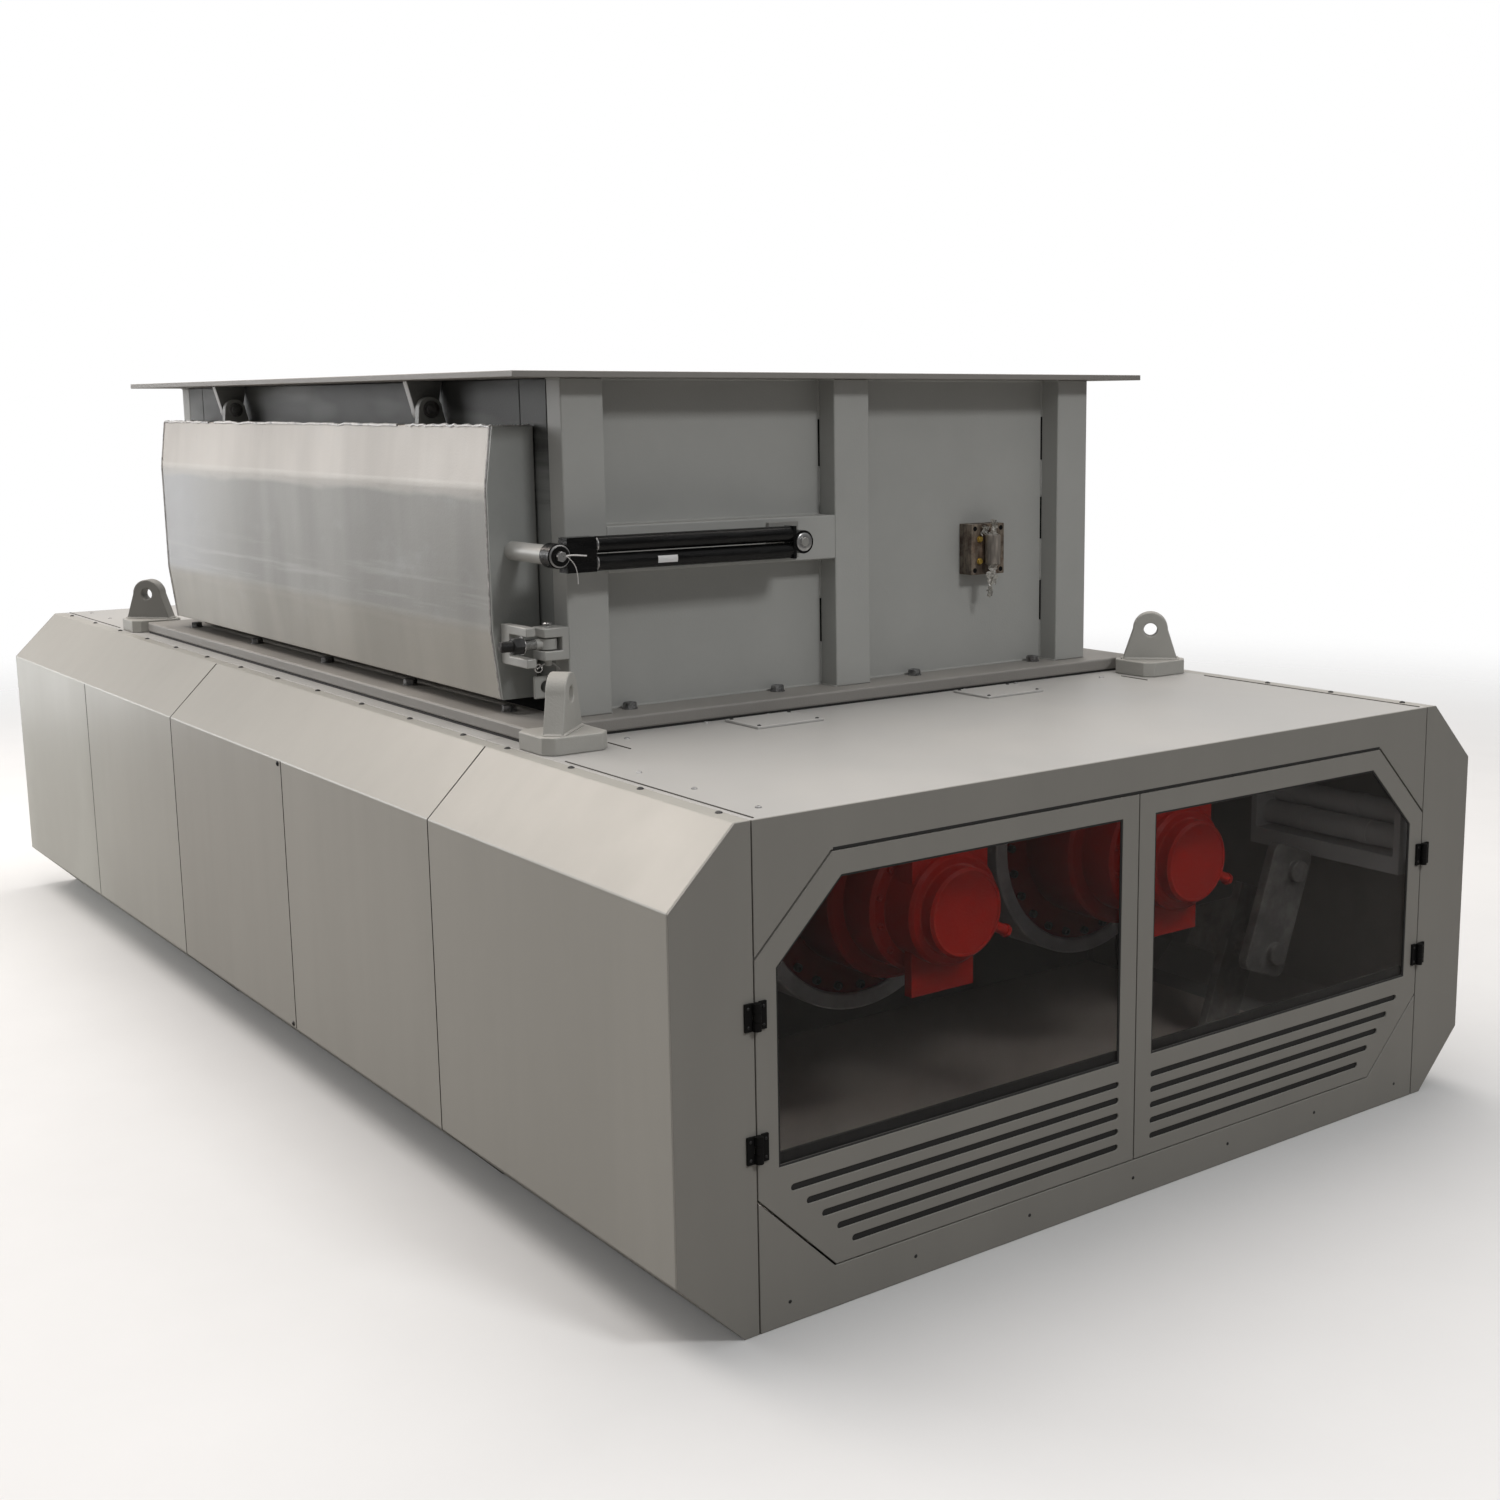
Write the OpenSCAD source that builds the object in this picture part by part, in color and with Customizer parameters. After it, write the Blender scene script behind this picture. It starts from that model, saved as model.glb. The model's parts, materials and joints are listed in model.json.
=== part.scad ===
// Twin-rotor industrial shredder with a feed hopper, a side access door on gas springs
// and two window leaves over its drive compartment.
// +X points to the drive end, -Y to the door side; the origin is on the floor, mid-base.

/* [Base enclosure] */
// Length of the base over its end plates
base_l = 4500; // [4300:10:5200]
// Width of the base over the side covers
base_w = 2360; // [2300:10:2700]
// Height of the deck above the floor
base_h = 1000; // [960:10:1150]
// Size of the bevel along the four long edges
bevel = 145; // [110:5:170]
// Lip of a side cover that folds over onto the deck
cover_lip = 35; // [25:1:45]
// Thickness of covers, end plates and deck plates
sheet_t = 6; // [4:1:10]
// Open seam between neighbouring plates
seam = 3; // [2:0.5:5]
// Length of the side cover beside the drives
drive_cover_l = 996; // [900:2:1040]

/* [Base frame] */
// Width of the frame tubes
rail_w = 110; // [80:5:130]
// Height of the floor rails and cross beams
rail_h = 120; // [80:5:140]
// Height of the tubes under the deck
top_rail_h = 60; // [40:5:80]
// How far a deck tube reaches under the cover lip
rail_reach = 20; // [10:1:24]
// Width of the upright frame posts along the machine
frame_post_w = 100; // [60:5:120]
// Thickness of the floor plate under the drives
floor_t = 6; // [4:1:10]

/* [Window leaves] */
// Height of the lower edge of the leaves above the floor
leaf_z = 89; // [70:1:110]
// Distance of the leaves' upper edge below the deck
leaf_top = 85; // [70:1:110]
// Corner cut at the hinge side of a leaf
leaf_corner = 180; // [140:5:200]
// Sheet thickness of a leaf
leaf_t = 4; // [3:0.5:6]
// Depth of the folded rim behind a leaf
leaf_fold = 28; // [15:1:35]
// Free room behind the folded rims of the leaves
leaf_room = 12; // [8:1:20]
// Margin between the leaf edge and the window
window_margin = 48; // [36:1:60]
// Height of the window's lower edge above the leaf's lower edge
window_sill = 233; // [228:1:260]
// Corner cut of the window
window_corner = 153; // [110:1:170]
// Thickness of the smoked glass
glass_t = 6; // [4:1:10]
// How far the glass laps behind the leaf
glass_lap = 12; // [6:1:20]
// Number of louvre slots in a leaf
slot_count = 5; // [3:1:5]
// Height of a louvre slot
slot_h = 14; // [8:1:18]
// Spacing of the louvre slots
slot_pitch = 36; // [30:1:38]
// Distance of the top slot below the window
slot_drop = 48; // [40:1:52]
// Margin between the slot ends and the corner cut of the leaf
slot_margin = 94; // [70:2:120]

/* [Leaf hinges] */
// Height of a leaf hinge
hinge_h = 54; // [40:1:70]
// Width of each hinge plate from the axis
hinge_w = 24; // [20:1:30]
// Thickness of a hinge plate
hinge_t = 5; // [3:0.5:6]
// Radius of the hinge knuckle
knuckle_r = 8; // [7:0.5:10]
// Radius of the hinge pin
hinge_pin_r = 3; // [2:0.5:4]
// Distance between the two hinges of a leaf
hinge_spacing = 258; // [200:2:400]

/* [Hopper] */
// Centre of the hopper along the machine
hopper_x = -55; // [-90:1:0]
// Length of the hopper over its posts
hopper_l = 2580; // [2500:10:2620]
// Width of the hopper over its posts
hopper_w = 1620; // [1560:10:1640]
// Height of the hopper between its two flanges
hopper_h = 766; // [740:2:900]
// Thickness of the hopper wall plates
wall_t = 10; // [6:1:15]
// Width of the end posts
post_w = 108; // [90:2:130]
// Depth of all hopper posts
post_d = 66; // [50:1:75]
// Width of the corner posts on the long sides
corner_post_w = 130; // [110:2:150]
// Number of ribs between the corner posts of the rear wall
rear_rib_count = 3; // [2:1:5]
// Flange overhang beyond the posts at the hopper ends
flange_over_l = 60; // [40:1:70]
// Flange overhang beyond the posts at the long sides
flange_over_w = 146; // [142:1:160]
// Thickness of the bottom flange
flange_t = 31; // [20:1:40]
// Thickness of the top flange
top_flange_t = 14; // [10:1:20]
// Gap between the deck and the bottom flange
flange_gap = 5; // [3:1:10]
// Height of the lower beam of the service opening
sill_h = 94; // [70:2:110]
// Height of the upper beam of the service opening
lintel_h = 162; // [120:2:180]

/* [Access door] */
// How far each end of the door stops short of the hopper posts
door_short = 125; // [115:1:145]
// Thickness of the door at its top edge
door_d = 101; // [80:1:104]
// Bulge of the door's flat middle beyond its top and bottom edges
door_bulge = 18; // [10:1:20]
// Outward lean of the door's lower back edge
door_lean = 17; // [10:1:22]
// Height of the door's bottom edge above the bottom flange
door_z = 37; // [30:1:45]
// Height of the lower bend above the door's bottom edge
bend_low_z = 161; // [120:1:200]
// Height of the upper bend above the door's bottom edge
bend_high_z = 485; // [400:1:520]
// Height of the door
door_h = 623; // [600:1:630]
// Sheet thickness of the door
door_t = 8; // [5:1:12]
// Thickness of the end plates of the door
door_end_t = 12; // [8:1:20]
// Running gap between the door and the hopper
door_gap = 5; // [3:0.5:8]

/* [Door hinges] */
// Distance of the hinge axis in front of the hopper posts
axis_out = 45; // [40:1:50]
// Height of the hinge axis above the door's top edge
axis_up = 37; // [35:1:42]
// Distance between the two door hinges
door_hinge_spacing = 1380; // [1000:10:1900]
// Radius of the door hinge pin
door_pin_r = 12.5; // [8:0.5:15]
// Thickness of the fixed hinge plates and of the door arms
lug_plate_t = 24; // [15:1:30]
// Outer radius of both hinge eyes
hinge_eye_r = 31; // [26:0.5:32]
// Side play between a fixed hinge plate and its door arm
arm_play = 2; // [1:0.5:4]
// Height of the door pin's heads
pin_head_l = 6; // [4:0.5:8]
// How much wider than the pin its heads are
pin_head_over = 5; // [3:0.5:8]

/* [Gas springs] */
// Outer radius of each gas spring tube
tube_r = 19; // [15:0.5:19.5]
// Bore radius of each tube
tube_bore_r = 14; // [11:0.5:16]
// Radius of each piston rod
rod_r = 10; // [6:0.5:10.5]
// Vertical distance between the two tubes
tube_pitch = 40; // [40:0.5:44]
// Length of the tubes
tube_l = 527; // [500:1:540]
// Distance from the base pivot to the tubes
pivot_to_tube = 29; // [26:1:34]
// Height of the springs above the bottom flange
spring_up = 379; // [370:1:395]
// Distance of the spring's door pivot in front of the hopper posts
stub_out = 67; // [60:1:72]
// Distance of the spring's base pivot behind the outer face of the hopper posts
pivot_in = 591; // [560:1:600]
// Distance of the springs beyond the hopper posts at the drive end
spring_out = 75; // [70:1:85]
// Radius of the stub shaft on the door's end
stub_r = 22; // [16:0.5:25]
// Radius of the spring eyes
spring_eye_r = 28; // [24:0.5:30]
// Thickness of the spring eyes
spring_eye_t = 40; // [30:1:44]
// Radius of the spring pivot pins
spring_pin_r = 11; // [8:0.5:14]
// Thickness of the bracket plate under the base pivot
bracket_t = 12; // [8:1:16]
// Height of the bracket plate and of its foot on the cross rib
bracket_h = 88; // [70:1:100]

/* [Door latch] */
// Height of the latch above the bottom flange
latch_up = 174; // [165:1:190]
// How far the fork plate reaches past the hopper post
fork_past = 1; // [-4:1:6]
// Width of the fork's web beside the door's end
fork_web = 42; // [30:1:60]
// Thickness of the fork plate
fork_t = 24; // [18:1:30]
// Slot of the fork above the swing bolt
slot_up = 20; // [19:0.5:24]
// Slot of the fork below the swing bolt
slot_down = 30; // [30:0.5:34]
// Height of each ear of the fork
ear_h = 21; // [15:1:28]
// Radius of the swing bolt's shank
bolt_r = 12; // [10:0.5:12.5]
// Length of the swing bolt from its pin to its tip
bolt_l = 116; // [112:1:125]
// Outer radius of the swing bolt's eye
eye_r = 21; // [18:0.5:23]
// Width of the nut over its flats
nut_af = 36; // [30:1:37]
// Length of the nut
nut_l = 24; // [20:1:28]
// Radius of the clevis pin
clevis_pin_r = 8; // [6:0.5:10]
// Height of each ear of the clevis
clevis_ear_t = 22; // [16:1:28]
// Running gap above and below the bolt's eye
eye_gap = 3; // [1:0.5:5]
// Thickness of the clevis web between the ears and the post
clevis_web = 18; // [12:1:24]
// Width of the clevis plates
clevis_w = 59; // [50:1:64]
// Radius of the hole in the lock plate
lock_hole_r = 14; // [10:0.5:16]
// Height of the lock plate
lock_h = 52; // [44:1:60]
// Reach of the lock plate in front of the post
lock_reach = 60; // [50:1:70]
// Thickness of the lock plate
lock_t = 10; // [6:1:14]
// Height of the latch above the lock plate
lock_down = 105; // [95:1:120]

/* [Lifting lugs] */
// Gap between the lugs' foot plates and the hopper's bottom flange
lug_gap = 20; // [12:1:50]
// Distance of the lugs inside the edge of the deck
lug_in = 85; // [82:1:120]
// Height of the lugs above the deck
lug_h = 170; // [150:1:200]
// Thickness of the lug plate
lug_t = 46; // [35:1:55]
// Width of the lug plate at its foot
lug_w = 150; // [130:1:160]
// Radius of the lug's round head
lug_head_r = 48; // [40:1:60]
// Radius of the lifting hole
lug_hole_r = 18.5; // [12:0.5:25]
// Thickness of the lug's foot plate
lug_foot_t = 40; // [25:1:45]
// Length of the foot plate along the machine
lug_foot_l = 150; // [130:1:180]
// Width of the foot plate across the machine
lug_foot_w = 160; // [140:1:164]
// Corner cut of the foot plate
lug_foot_cut = 22; // [10:1:30]

/* [Deck covers] */
// Length of the small covers over the drives
access_l = 140; // [110:5:160]
// Width of the small covers over the drives
access_w = 190; // [150:5:240]
// Gap between the small covers and the hopper's bottom flange
access_gap = 25; // [10:1:60]

/* [Sensor] */
// Distance of the sensor from the machine's middle
sensor_y = 465; // [400:5:560]
// Height of the sensor above the bottom flange
sensor_up = 321; // [200:1:420]
// Depth of the sensor's block
block_d = 50; // [30:1:60]
// Width of the sensor's block
block_w = 115; // [90:1:140]
// Height of the sensor's block
block_h = 135; // [100:1:160]
// Radius of the sensor's body
sensor_r = 20; // [12:1:25]
// Height of the sensor's body
sensor_h = 80; // [60:1:110]

/* [Cutting rotors] */
// Depth of the rotor axes below the deck
rotor_down = 320; // [308:1:340]
// Distance between the two rotor axes
rotor_pitch = 708; // [700:1:716]
// Radius over the cutter tips
tip_r = 372; // [366:1:376]
// Radius of the cutter discs between the teeth
disc_r = 322; // [300:1:330]
// Radius of the drum between the discs
drum_r = 280; // [220:1:300]
// Radius of the rotor shafts
shaft_r = 110; // [80:1:130]
// Number of cutter discs on each rotor
cutter_count = 14; // [10:1:18]
// Side clearance between neighbouring discs of the two rotors
cutter_gap = 4; // [3:0.5:6]
// Number of teeth on a disc
tooth_count = 4; // [3:1:6]
// Turn from one disc to the next
cutter_twist = 25; // [10:1:40]
// Side clearance between a scraper finger and the discs beside it
finger_gap = 4; // [2:0.5:8]
// Clearance between a finger's tip and the drum
finger_tip_gap = 6; // [3:0.5:12]
// Half height of a scraper finger at its tip
finger_h = 90; // [60:1:120]
// How much taller a finger is at its root, above and below
finger_flare = 70; // [0:1:100]
// Thickness of the chamber walls
chamber_t = 25; // [15:1:35]
// Radial clearance of the shafts in the bulkheads
shaft_gap = 0.3; // [0.2:0.1:1]

/* [Drives] */
// Room between the motor caps and the glass of the leaves
drive_room = 146; // [120:1:200]
// Radius of the bolted flange
flange_drive_r = 280; // [240:1:284]
// Length of the bolted flange
flange_drive_l = 80; // [60:1:100]
// Number of bolt pockets around the flange
pocket_count = 20; // [12:1:24]
// Radius of a bolt pocket
pocket_r = 17; // [10:0.5:20]
// Depth of the bolt pockets into the flange
pocket_d = 34; // [20:1:40]
// Radius of the gearbox body behind the flange
gear_r = 245; // [200:1:260]
// Radius of the first ring in front of the flange
ring_a_r = 195; // [180:1:220]
// Length of the first ring
ring_a_l = 154; // [120:1:170]
// Radius of the second ring
ring_b_r = 158; // [140:1:175]
// Length of the second ring
ring_b_l = 100; // [80:1:120]
// Radius of the motor flange
motor_r = 124; // [110:1:135]
// Length of the motor flange
motor_l = 90; // [70:1:100]
// Radius of the motor cap
cap_r = 98; // [80:1:105]
// Length of the motor cap
cap_l = 36; // [30:1:60]
// Bevel of the ring, flange and cap edges
drive_bevel = 8; // [3:1:12]
// Half width of the motor's mounting plate
foot_w = 86; // [60:1:100]
// How far the mounting plate hangs below the second ring
foot_drop = 31; // [20:1:50]
// Thickness of the mounting plate
foot_t = 24; // [16:1:30]
// Half width of the port block on top of the motor
port_block_w = 104; // [80:1:110]
// Height of the port block above the drive's axis
port_block_h = 142; // [130:1:150]
// Length of the port block
port_block_l = 50; // [40:1:70]
// Radius of the oil port beside the motor cap
port_r = 12; // [8:1:15]
// Reach of the oil port beyond the motor cap
port_out = 38; // [25:1:45]
// How far the oil port points below the level
port_turn = 27; // [0:1:45]
// Outer radius of the steel collar around the gearbox
collar_r = 302; // [298:1:306]
// Wall thickness of the collar
collar_t = 12; // [8:1:16]
// Radius of the far bearing housings
bearing_r = 190; // [160:1:220]
// Length of the far bearing housings
bearing_l = 120; // [80:1:160]

/* [Pipes and torque link] */
// Radius of the steel oil pipes
pipe_r = 32; // [25:1:36]
// Length of the oil pipes with their end plates
pipe_l = 484; // [400:1:600]
// Room between the pipes' end plate and the glass
pipe_room = 43; // [40:1:100]
// How far the pipe shelf lies outside the frame tubes' inner side
pipe_out = 90; // [60:1:94]
// Height of the pipe shelf above the floor plate
pipe_up = 441; // [380:1:480]
// Thickness of the pipe shelf
shelf_t = 45; // [30:1:50]
// Distance from the shelf's front edge to the first pipe
pipe_in = 25; // [10:1:30]
// Clearance between the pipes, and between the first pipe and the shelf
pipe_gap = 4; // [2:1:12]
// How steeply the second pipe lies above the first
pipe_turn = 51; // [45:1:80]
// Thickness of the pipes' end plates
hanger_t = 20; // [12:1:25]
// Width of an end plate where it meets the deck rail
hanger_w = 36; // [20:1:40]
// How far the end plates reach past the pipes
hanger_edge = 6; // [4:1:10]
// Distance of the link plate behind the end cross beam's face
link_back = 230; // [200:1:260]
// Thickness of the link plate
link_t = 26; // [18:1:32]
// Half width of the link plate
link_r = 75; // [60:1:80]
// How far the plate's middle lies beside its pins
link_side = 22; // [0:1:26]
// How far the link plate reaches past its pins
link_over = 57; // [45:1:70]
// Corner radius of the link plate
link_round = 24; // [10:1:30]
// Gap between the link's lower pin and the frame tube
link_in = 148; // [130:1:160]
// Height of the lower pin above the floor plate
link_up = 240; // [200:1:250]
// Distance between the link's pins, upwards
link_h = 203; // [180:1:220]
// How far the upper pin leans outwards
link_lean = 73; // [0:1:73]
// Radius of the link's pins
link_pin_r = 28; // [18:1:32]
// Length of the lower pin between the link and its post
link_pin_l = 80; // [60:1:100]
// Thickness of the link's post
link_post_t = 24; // [18:1:40]
// Half width of the link's post
link_post_r = 60; // [40:1:64]
// Distance from the lower pin to the post's top
link_post_up = 152; // [120:1:160]
// Depth of the stiffening box behind the post
link_box_l = 106; // [80:1:130]
// Height of the stiffening box at its back
link_box_h = 100; // [60:1:140]
// How far the stiffening box starts below the lower pin
link_box_low = 20; // [10:1:60]

/* [Hidden] */
$fn = 64;
face_x = base_l / 2;
end_x = face_x - sheet_t;
deck_half = base_w / 2 - bevel - cover_lip;
cover_pitch = (base_l - drive_cover_l) / 4;
cover_cuts = [-end_x, -face_x + 2 * cover_pitch, face_x - drive_cover_l, end_x];
slit_x = [-face_x + cover_pitch, -face_x + 3 * cover_pitch];
deck_z = base_h - sheet_t;
leaf_h = base_h - leaf_top - leaf_z;
flange_z = base_h + flange_gap;
wall_z = flange_z + flange_t;
rim_z = wall_z + hopper_h;
half_l = hopper_l / 2;
half_w = hopper_w / 2;
// Outer faces of the wall plates, and the clear inside of the hopper
plate_x = half_l - post_d;
plate_y = half_w - post_d;
inner_x = plate_x - wall_t;
inner_y = plate_y - wall_t;
flange_hx = half_l + flange_over_l;
flange_hy = half_w + flange_over_w;
chamber_x = inner_x + chamber_t;
chamber_y = inner_y + chamber_t;
bulk_y = deck_half - rail_w;
lug_x = flange_hx + lug_gap + lug_foot_l / 2;
lug_y = deck_half - lug_in;
// The drive bay ends behind the folded rims of the leaves
bay_x = face_x - leaf_fold - leaf_room;
leaf_edge = deck_half - seam / 2;
glass_x = face_x - leaf_t - glass_t;
hinge_zs = [for (s = [-1, 1]) leaf_z + leaf_h / 2 + s * hinge_spacing / 2];
hinge_x = face_x + knuckle_r + 0.5;
// Height of each hinge knuckle, three to a hinge
knuckle_h = hinge_h / 3;
door_back = -half_w - door_gap;
door_bottom = wall_z + door_z;
door_top = door_bottom + door_h;
axis_y = -half_w - axis_out;
axis_z = door_top + axis_up;
hinge_xs = [for (s = [-1, 1]) hopper_x + s * door_hinge_spacing / 2];
door_l = hopper_l - 2 * door_short;
door_x1 = hopper_x + door_l / 2;
post_face = hopper_x + half_l;
spring_x = post_face + spring_out;
spring_z = wall_z + spring_up;
stub_y = -half_w - stub_out;
pivot_y = -half_w + pivot_in;
tube_y1 = pivot_y - pivot_to_tube;
tube_y0 = tube_y1 - tube_l;
pin_gap = 0.3;
latch_z = wall_z + latch_up;
// The swing bolt's pin stands in front of the corner post
bolt_x = post_face - eye_r;
bolt_y = -half_w - clevis_web - eye_r - eye_gap;
tip_y = bolt_y - bolt_l;
fork_y = door_back - door_d;
fork_x1 = post_face + fork_past;
clevis_half = bolt_r + eye_gap + clevis_ear_t;
bulk_x1 = hopper_x + chamber_x;
bulk_x0 = hopper_x - chamber_x;
rotor_z = base_h - rotor_down;
cutter_pitch = 2 * inner_x / cutter_count;
cutter_t = cutter_pitch / 2 - cutter_gap;
// Places of the first disc of the left and right rotor, as shares of the disc spacing
left_phase = 0.25;
right_phase = 0.75;
finger_t = cutter_pitch - cutter_t - 2 * finger_gap;
gear_l = glass_x - drive_room - bulk_x1 - flange_drive_l - ring_a_l - ring_b_l - motor_l - cap_l;
pipe_x1 = glass_x - pipe_room;
pipe_x0 = pipe_x1 - pipe_l;
link_x = bay_x - link_back;
link_low = [bulk_y - link_in, rail_h + floor_t + link_up];
link_top = link_low + [link_lean, link_h];

// ---- helpers ----

// Offsets a closed counter-clockwise outline inwards by d
function inset(p, d) = [
    for (i = [0 : len(p) - 1])
        let (
            a = p[i] - p[(i + len(p) - 1) % len(p)],
            b = p[(i + 1) % len(p)] - p[i],
            m = [-a.y, a.x] / norm(a),
            n = [-b.y, b.x] / norm(b)
        )
        p[i] + (m + n) * d / (1 + m * n)
];

// Point on a circle of radius r at angle a
function polar(r, a) = [r * cos(a), r * sin(a)];

// Outline of a box with its lower left and upper right corner, cut at both ends of one side
function cut_box(y0, y1, z0, z1, c) = [
    [y0, z0], [y1 - c, z0], [y1, z0 + c], [y1, z1 - c], [y1 - c, z1], [y0, z1]
];

module block(p, q) {
    translate(p) cube(q - p);
}

// Extrudes a shape drawn in Y and Z from x0 to x1
module along_x(x0, x1) {
    translate([x0, 0, 0]) rotate([90, 0, 90]) linear_extrude(x1 - x0) children();
}

// Round bar along X
module bar_x(r, x0, x1, y, z) {
    translate([x0, y, z]) rotate([0, 90, 0]) cylinder(r = r, h = x1 - x0);
}

// Round bar along Y
module bar_y(r, y0, y1, x, z) {
    translate([x, y1, z]) rotate([90, 0, 0]) cylinder(r = r, h = y1 - y0);
}

// Mirrors its children to the right-hand side when side is 1
module on_side(side) {
    if (side > 0) mirror([0, 1, 0]) children();
    else children();
}

// Flat ring with a rectangular opening, from z0 up
module flat_ring(hx, hy, ix, iy, z0, t) {
    difference() {
        block([hopper_x - hx, -hy, z0], [hopper_x + hx, hy, z0 + t]);
        block([hopper_x - ix, -iy, z0 - t], [hopper_x + ix, iy, z0 + 2 * t]);
    }
}

// ---- base frame ----

module base_rails() {
    color("dimgray")
    for (s = [-1, 1])
        on_side(s) block([-end_x, -deck_half, 0], [end_x, -bulk_y, rail_h]);
}

module deck_rails() {
    color("dimgray")
    for (s = [-1, 1])
        on_side(s) block(
            [-end_x, -deck_half - rail_reach, deck_z - top_rail_h],
            [end_x, -bulk_y - rail_reach, deck_z]
        );
}

module frame_posts() {
    xs = [-end_x, bulk_x0 - frame_post_w, hopper_x - frame_post_w / 2, bulk_x1];
    color("dimgray")
    for (x = xs, s = [-1, 1])
        on_side(s) block(
            [x, -deck_half, rail_h],
            [x + frame_post_w, -bulk_y - rail_reach, deck_z - top_rail_h]
        );
}

module cross_beams() {
    xs = [-end_x, bulk_x0 - rail_w, bulk_x1, bay_x - rail_w];
    color("dimgray")
    for (x = xs) block([x, -bulk_y, 0], [x + rail_w, bulk_y, rail_h]);
}

module drive_floor() {
    color("gray")
    block([bulk_x1, -bulk_y, rail_h], [bay_x, bulk_y, rail_h + floor_t]);
}

// ---- base covers ----

function base_outline() = [
    [-base_w / 2 + bevel, 0], [base_w / 2 - bevel, 0], [base_w / 2, bevel],
    [base_w / 2, base_h - bevel], [base_w / 2 - bevel, base_h],
    [-base_w / 2 + bevel, base_h], [-base_w / 2, base_h - bevel], [-base_w / 2, bevel]
];

// Bent cover sheets of the left long side
module side_covers() {
    difference() {
        for (i = [0 : 2])
            along_x(
                cover_cuts[i] + (i > 0 ? seam / 2 : 0),
                cover_cuts[i + 1] - (i < 2 ? seam / 2 : 0)
            )
            difference() {
                polygon(base_outline());
                polygon(inset(base_outline(), sheet_t));
                translate([-deck_half, -sheet_t]) square([base_w, base_h + 2 * sheet_t]);
            }
        for (x = slit_x)
            block(
                [x - seam / 2, -base_w, bevel],
                [x + seam / 2, -base_w / 2 + 2 * sheet_t, base_h - bevel]
            );
    }
}

module left_covers() {
    color("gainsboro") side_covers();
}

module right_covers() {
    color("gainsboro") on_side(1) side_covers();
}

// Outline of one leaf, from the middle seam to the hinge seam
function leaf_outline() = cut_box(seam / 2, leaf_edge, leaf_z, leaf_z + leaf_h, leaf_corner);

module window_end_frame() {
    color("darkgray")
    along_x(end_x, face_x)
    difference() {
        polygon(base_outline());
        for (s = [0, 1]) mirror([s, 0]) {
            polygon(cut_box(
                -seam, leaf_edge + seam, leaf_z - seam, leaf_z + leaf_h + seam, leaf_corner
            ));
            translate([leaf_edge, -seam]) square([seam, base_h + 2 * seam]);
        }
    }
}

module far_end_cover() {
    color("darkgray")
    along_x(-face_x, -end_x)
    difference() {
        polygon(base_outline());
        for (y = [-deck_half, 0, deck_half])
            translate([y - seam / 2, -seam]) square([seam, base_h + 2 * seam]);
    }
}

module deck_plates() {
    color("gainsboro") {
        block([bulk_x1, -leaf_edge, deck_z], [end_x, leaf_edge, base_h]);
        block([-end_x, -leaf_edge, deck_z], [bulk_x0, leaf_edge, base_h]);
        for (s = [-1, 1])
            on_side(s) block(
                [bulk_x0 + seam, -leaf_edge, deck_z], [bulk_x1 - seam, -chamber_y, base_h]
            );
    }
}

// Small covers over the grease points beside the hopper
module access_plates() {
    color("gainsboro")
    for (s = [-1, 1])
        translate([
            hopper_x + flange_hx + access_gap + access_l / 2, s * rotor_pitch / 2,
            base_h + sheet_t / 2
        ])
            cube([access_l, access_w, sheet_t], center = true);
}

// One lug at the origin: foot plate with cut corners, and a tapering plate turned by a
module lifting_lug(a) {
    fl = lug_foot_l / 2;
    fw = lug_foot_w / 2;
    c = lug_foot_cut;
    neck = lug_h - lug_head_r;
    linear_extrude(lug_foot_t)
        polygon([
            [-fl + c, -fw], [fl - c, -fw], [fl, -fw + c], [fl, fw - c],
            [fl - c, fw], [-fl + c, fw], [-fl, fw - c], [-fl, -fw + c]
        ]);
    rotate(a) difference() {
        rotate([90, 0, 90]) translate([0, 0, -lug_t / 2]) linear_extrude(lug_t)
            union() {
                polygon([
                    [-lug_w / 2, lug_foot_t], [lug_w / 2, lug_foot_t],
                    [lug_head_r, neck], [-lug_head_r, neck]
                ]);
                translate([0, neck]) circle(lug_head_r);
            }
        translate([-lug_t, 0, neck]) rotate([0, 90, 0]) cylinder(r = lug_hole_r, h = 2 * lug_t);
    }
}

module lifting_lugs() {
    color("gainsboro")
    for (sx = [-1, 1], sy = [-1, 1])
        translate([hopper_x + sx * lug_x, sy * lug_y, base_h])
            lifting_lug(sx * sy < 0 ? 45 : -45);
}

// ---- window leaves ----

function window_outline(lap) = let (m = window_margin - lap) [
    [seam / 2 + m, leaf_z + window_sill - lap],
    [leaf_edge - m, leaf_z + window_sill - lap],
    [leaf_edge - m, leaf_z + leaf_h - m - window_corner],
    [leaf_edge - m - window_corner, leaf_z + leaf_h - m],
    [seam / 2 + m, leaf_z + leaf_h - m]
];

// Louvre slots that end along the corner cut
module louvres() {
    for (i = [0 : slot_count - 1]) {
        z = leaf_z + window_sill - slot_drop - i * slot_pitch;
        y0 = seam / 2 + window_margin + slot_h / 2;
        y1 = leaf_edge - leaf_corner + (z - leaf_z) - slot_margin + slot_h / 2;
        translate([y0, z - slot_h / 2]) square([y1 - y0, slot_h]);
        for (y = [y0, y1]) translate([y, z]) circle(slot_h / 2);
    }
}

// Folded sheet leaf on the right-hand side of the middle seam
module leaf() {
    along_x(face_x - leaf_t, face_x)
    difference() {
        polygon(leaf_outline());
        polygon(window_outline(0));
        louvres();
    }
    along_x(face_x - leaf_fold, face_x - leaf_t)
    difference() {
        polygon(leaf_outline());
        polygon(inset(leaf_outline(), leaf_t));
    }
}

module glass() {
    along_x(face_x - leaf_t - glass_t, face_x - leaf_t) polygon(window_outline(glass_lap));
}

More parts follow.
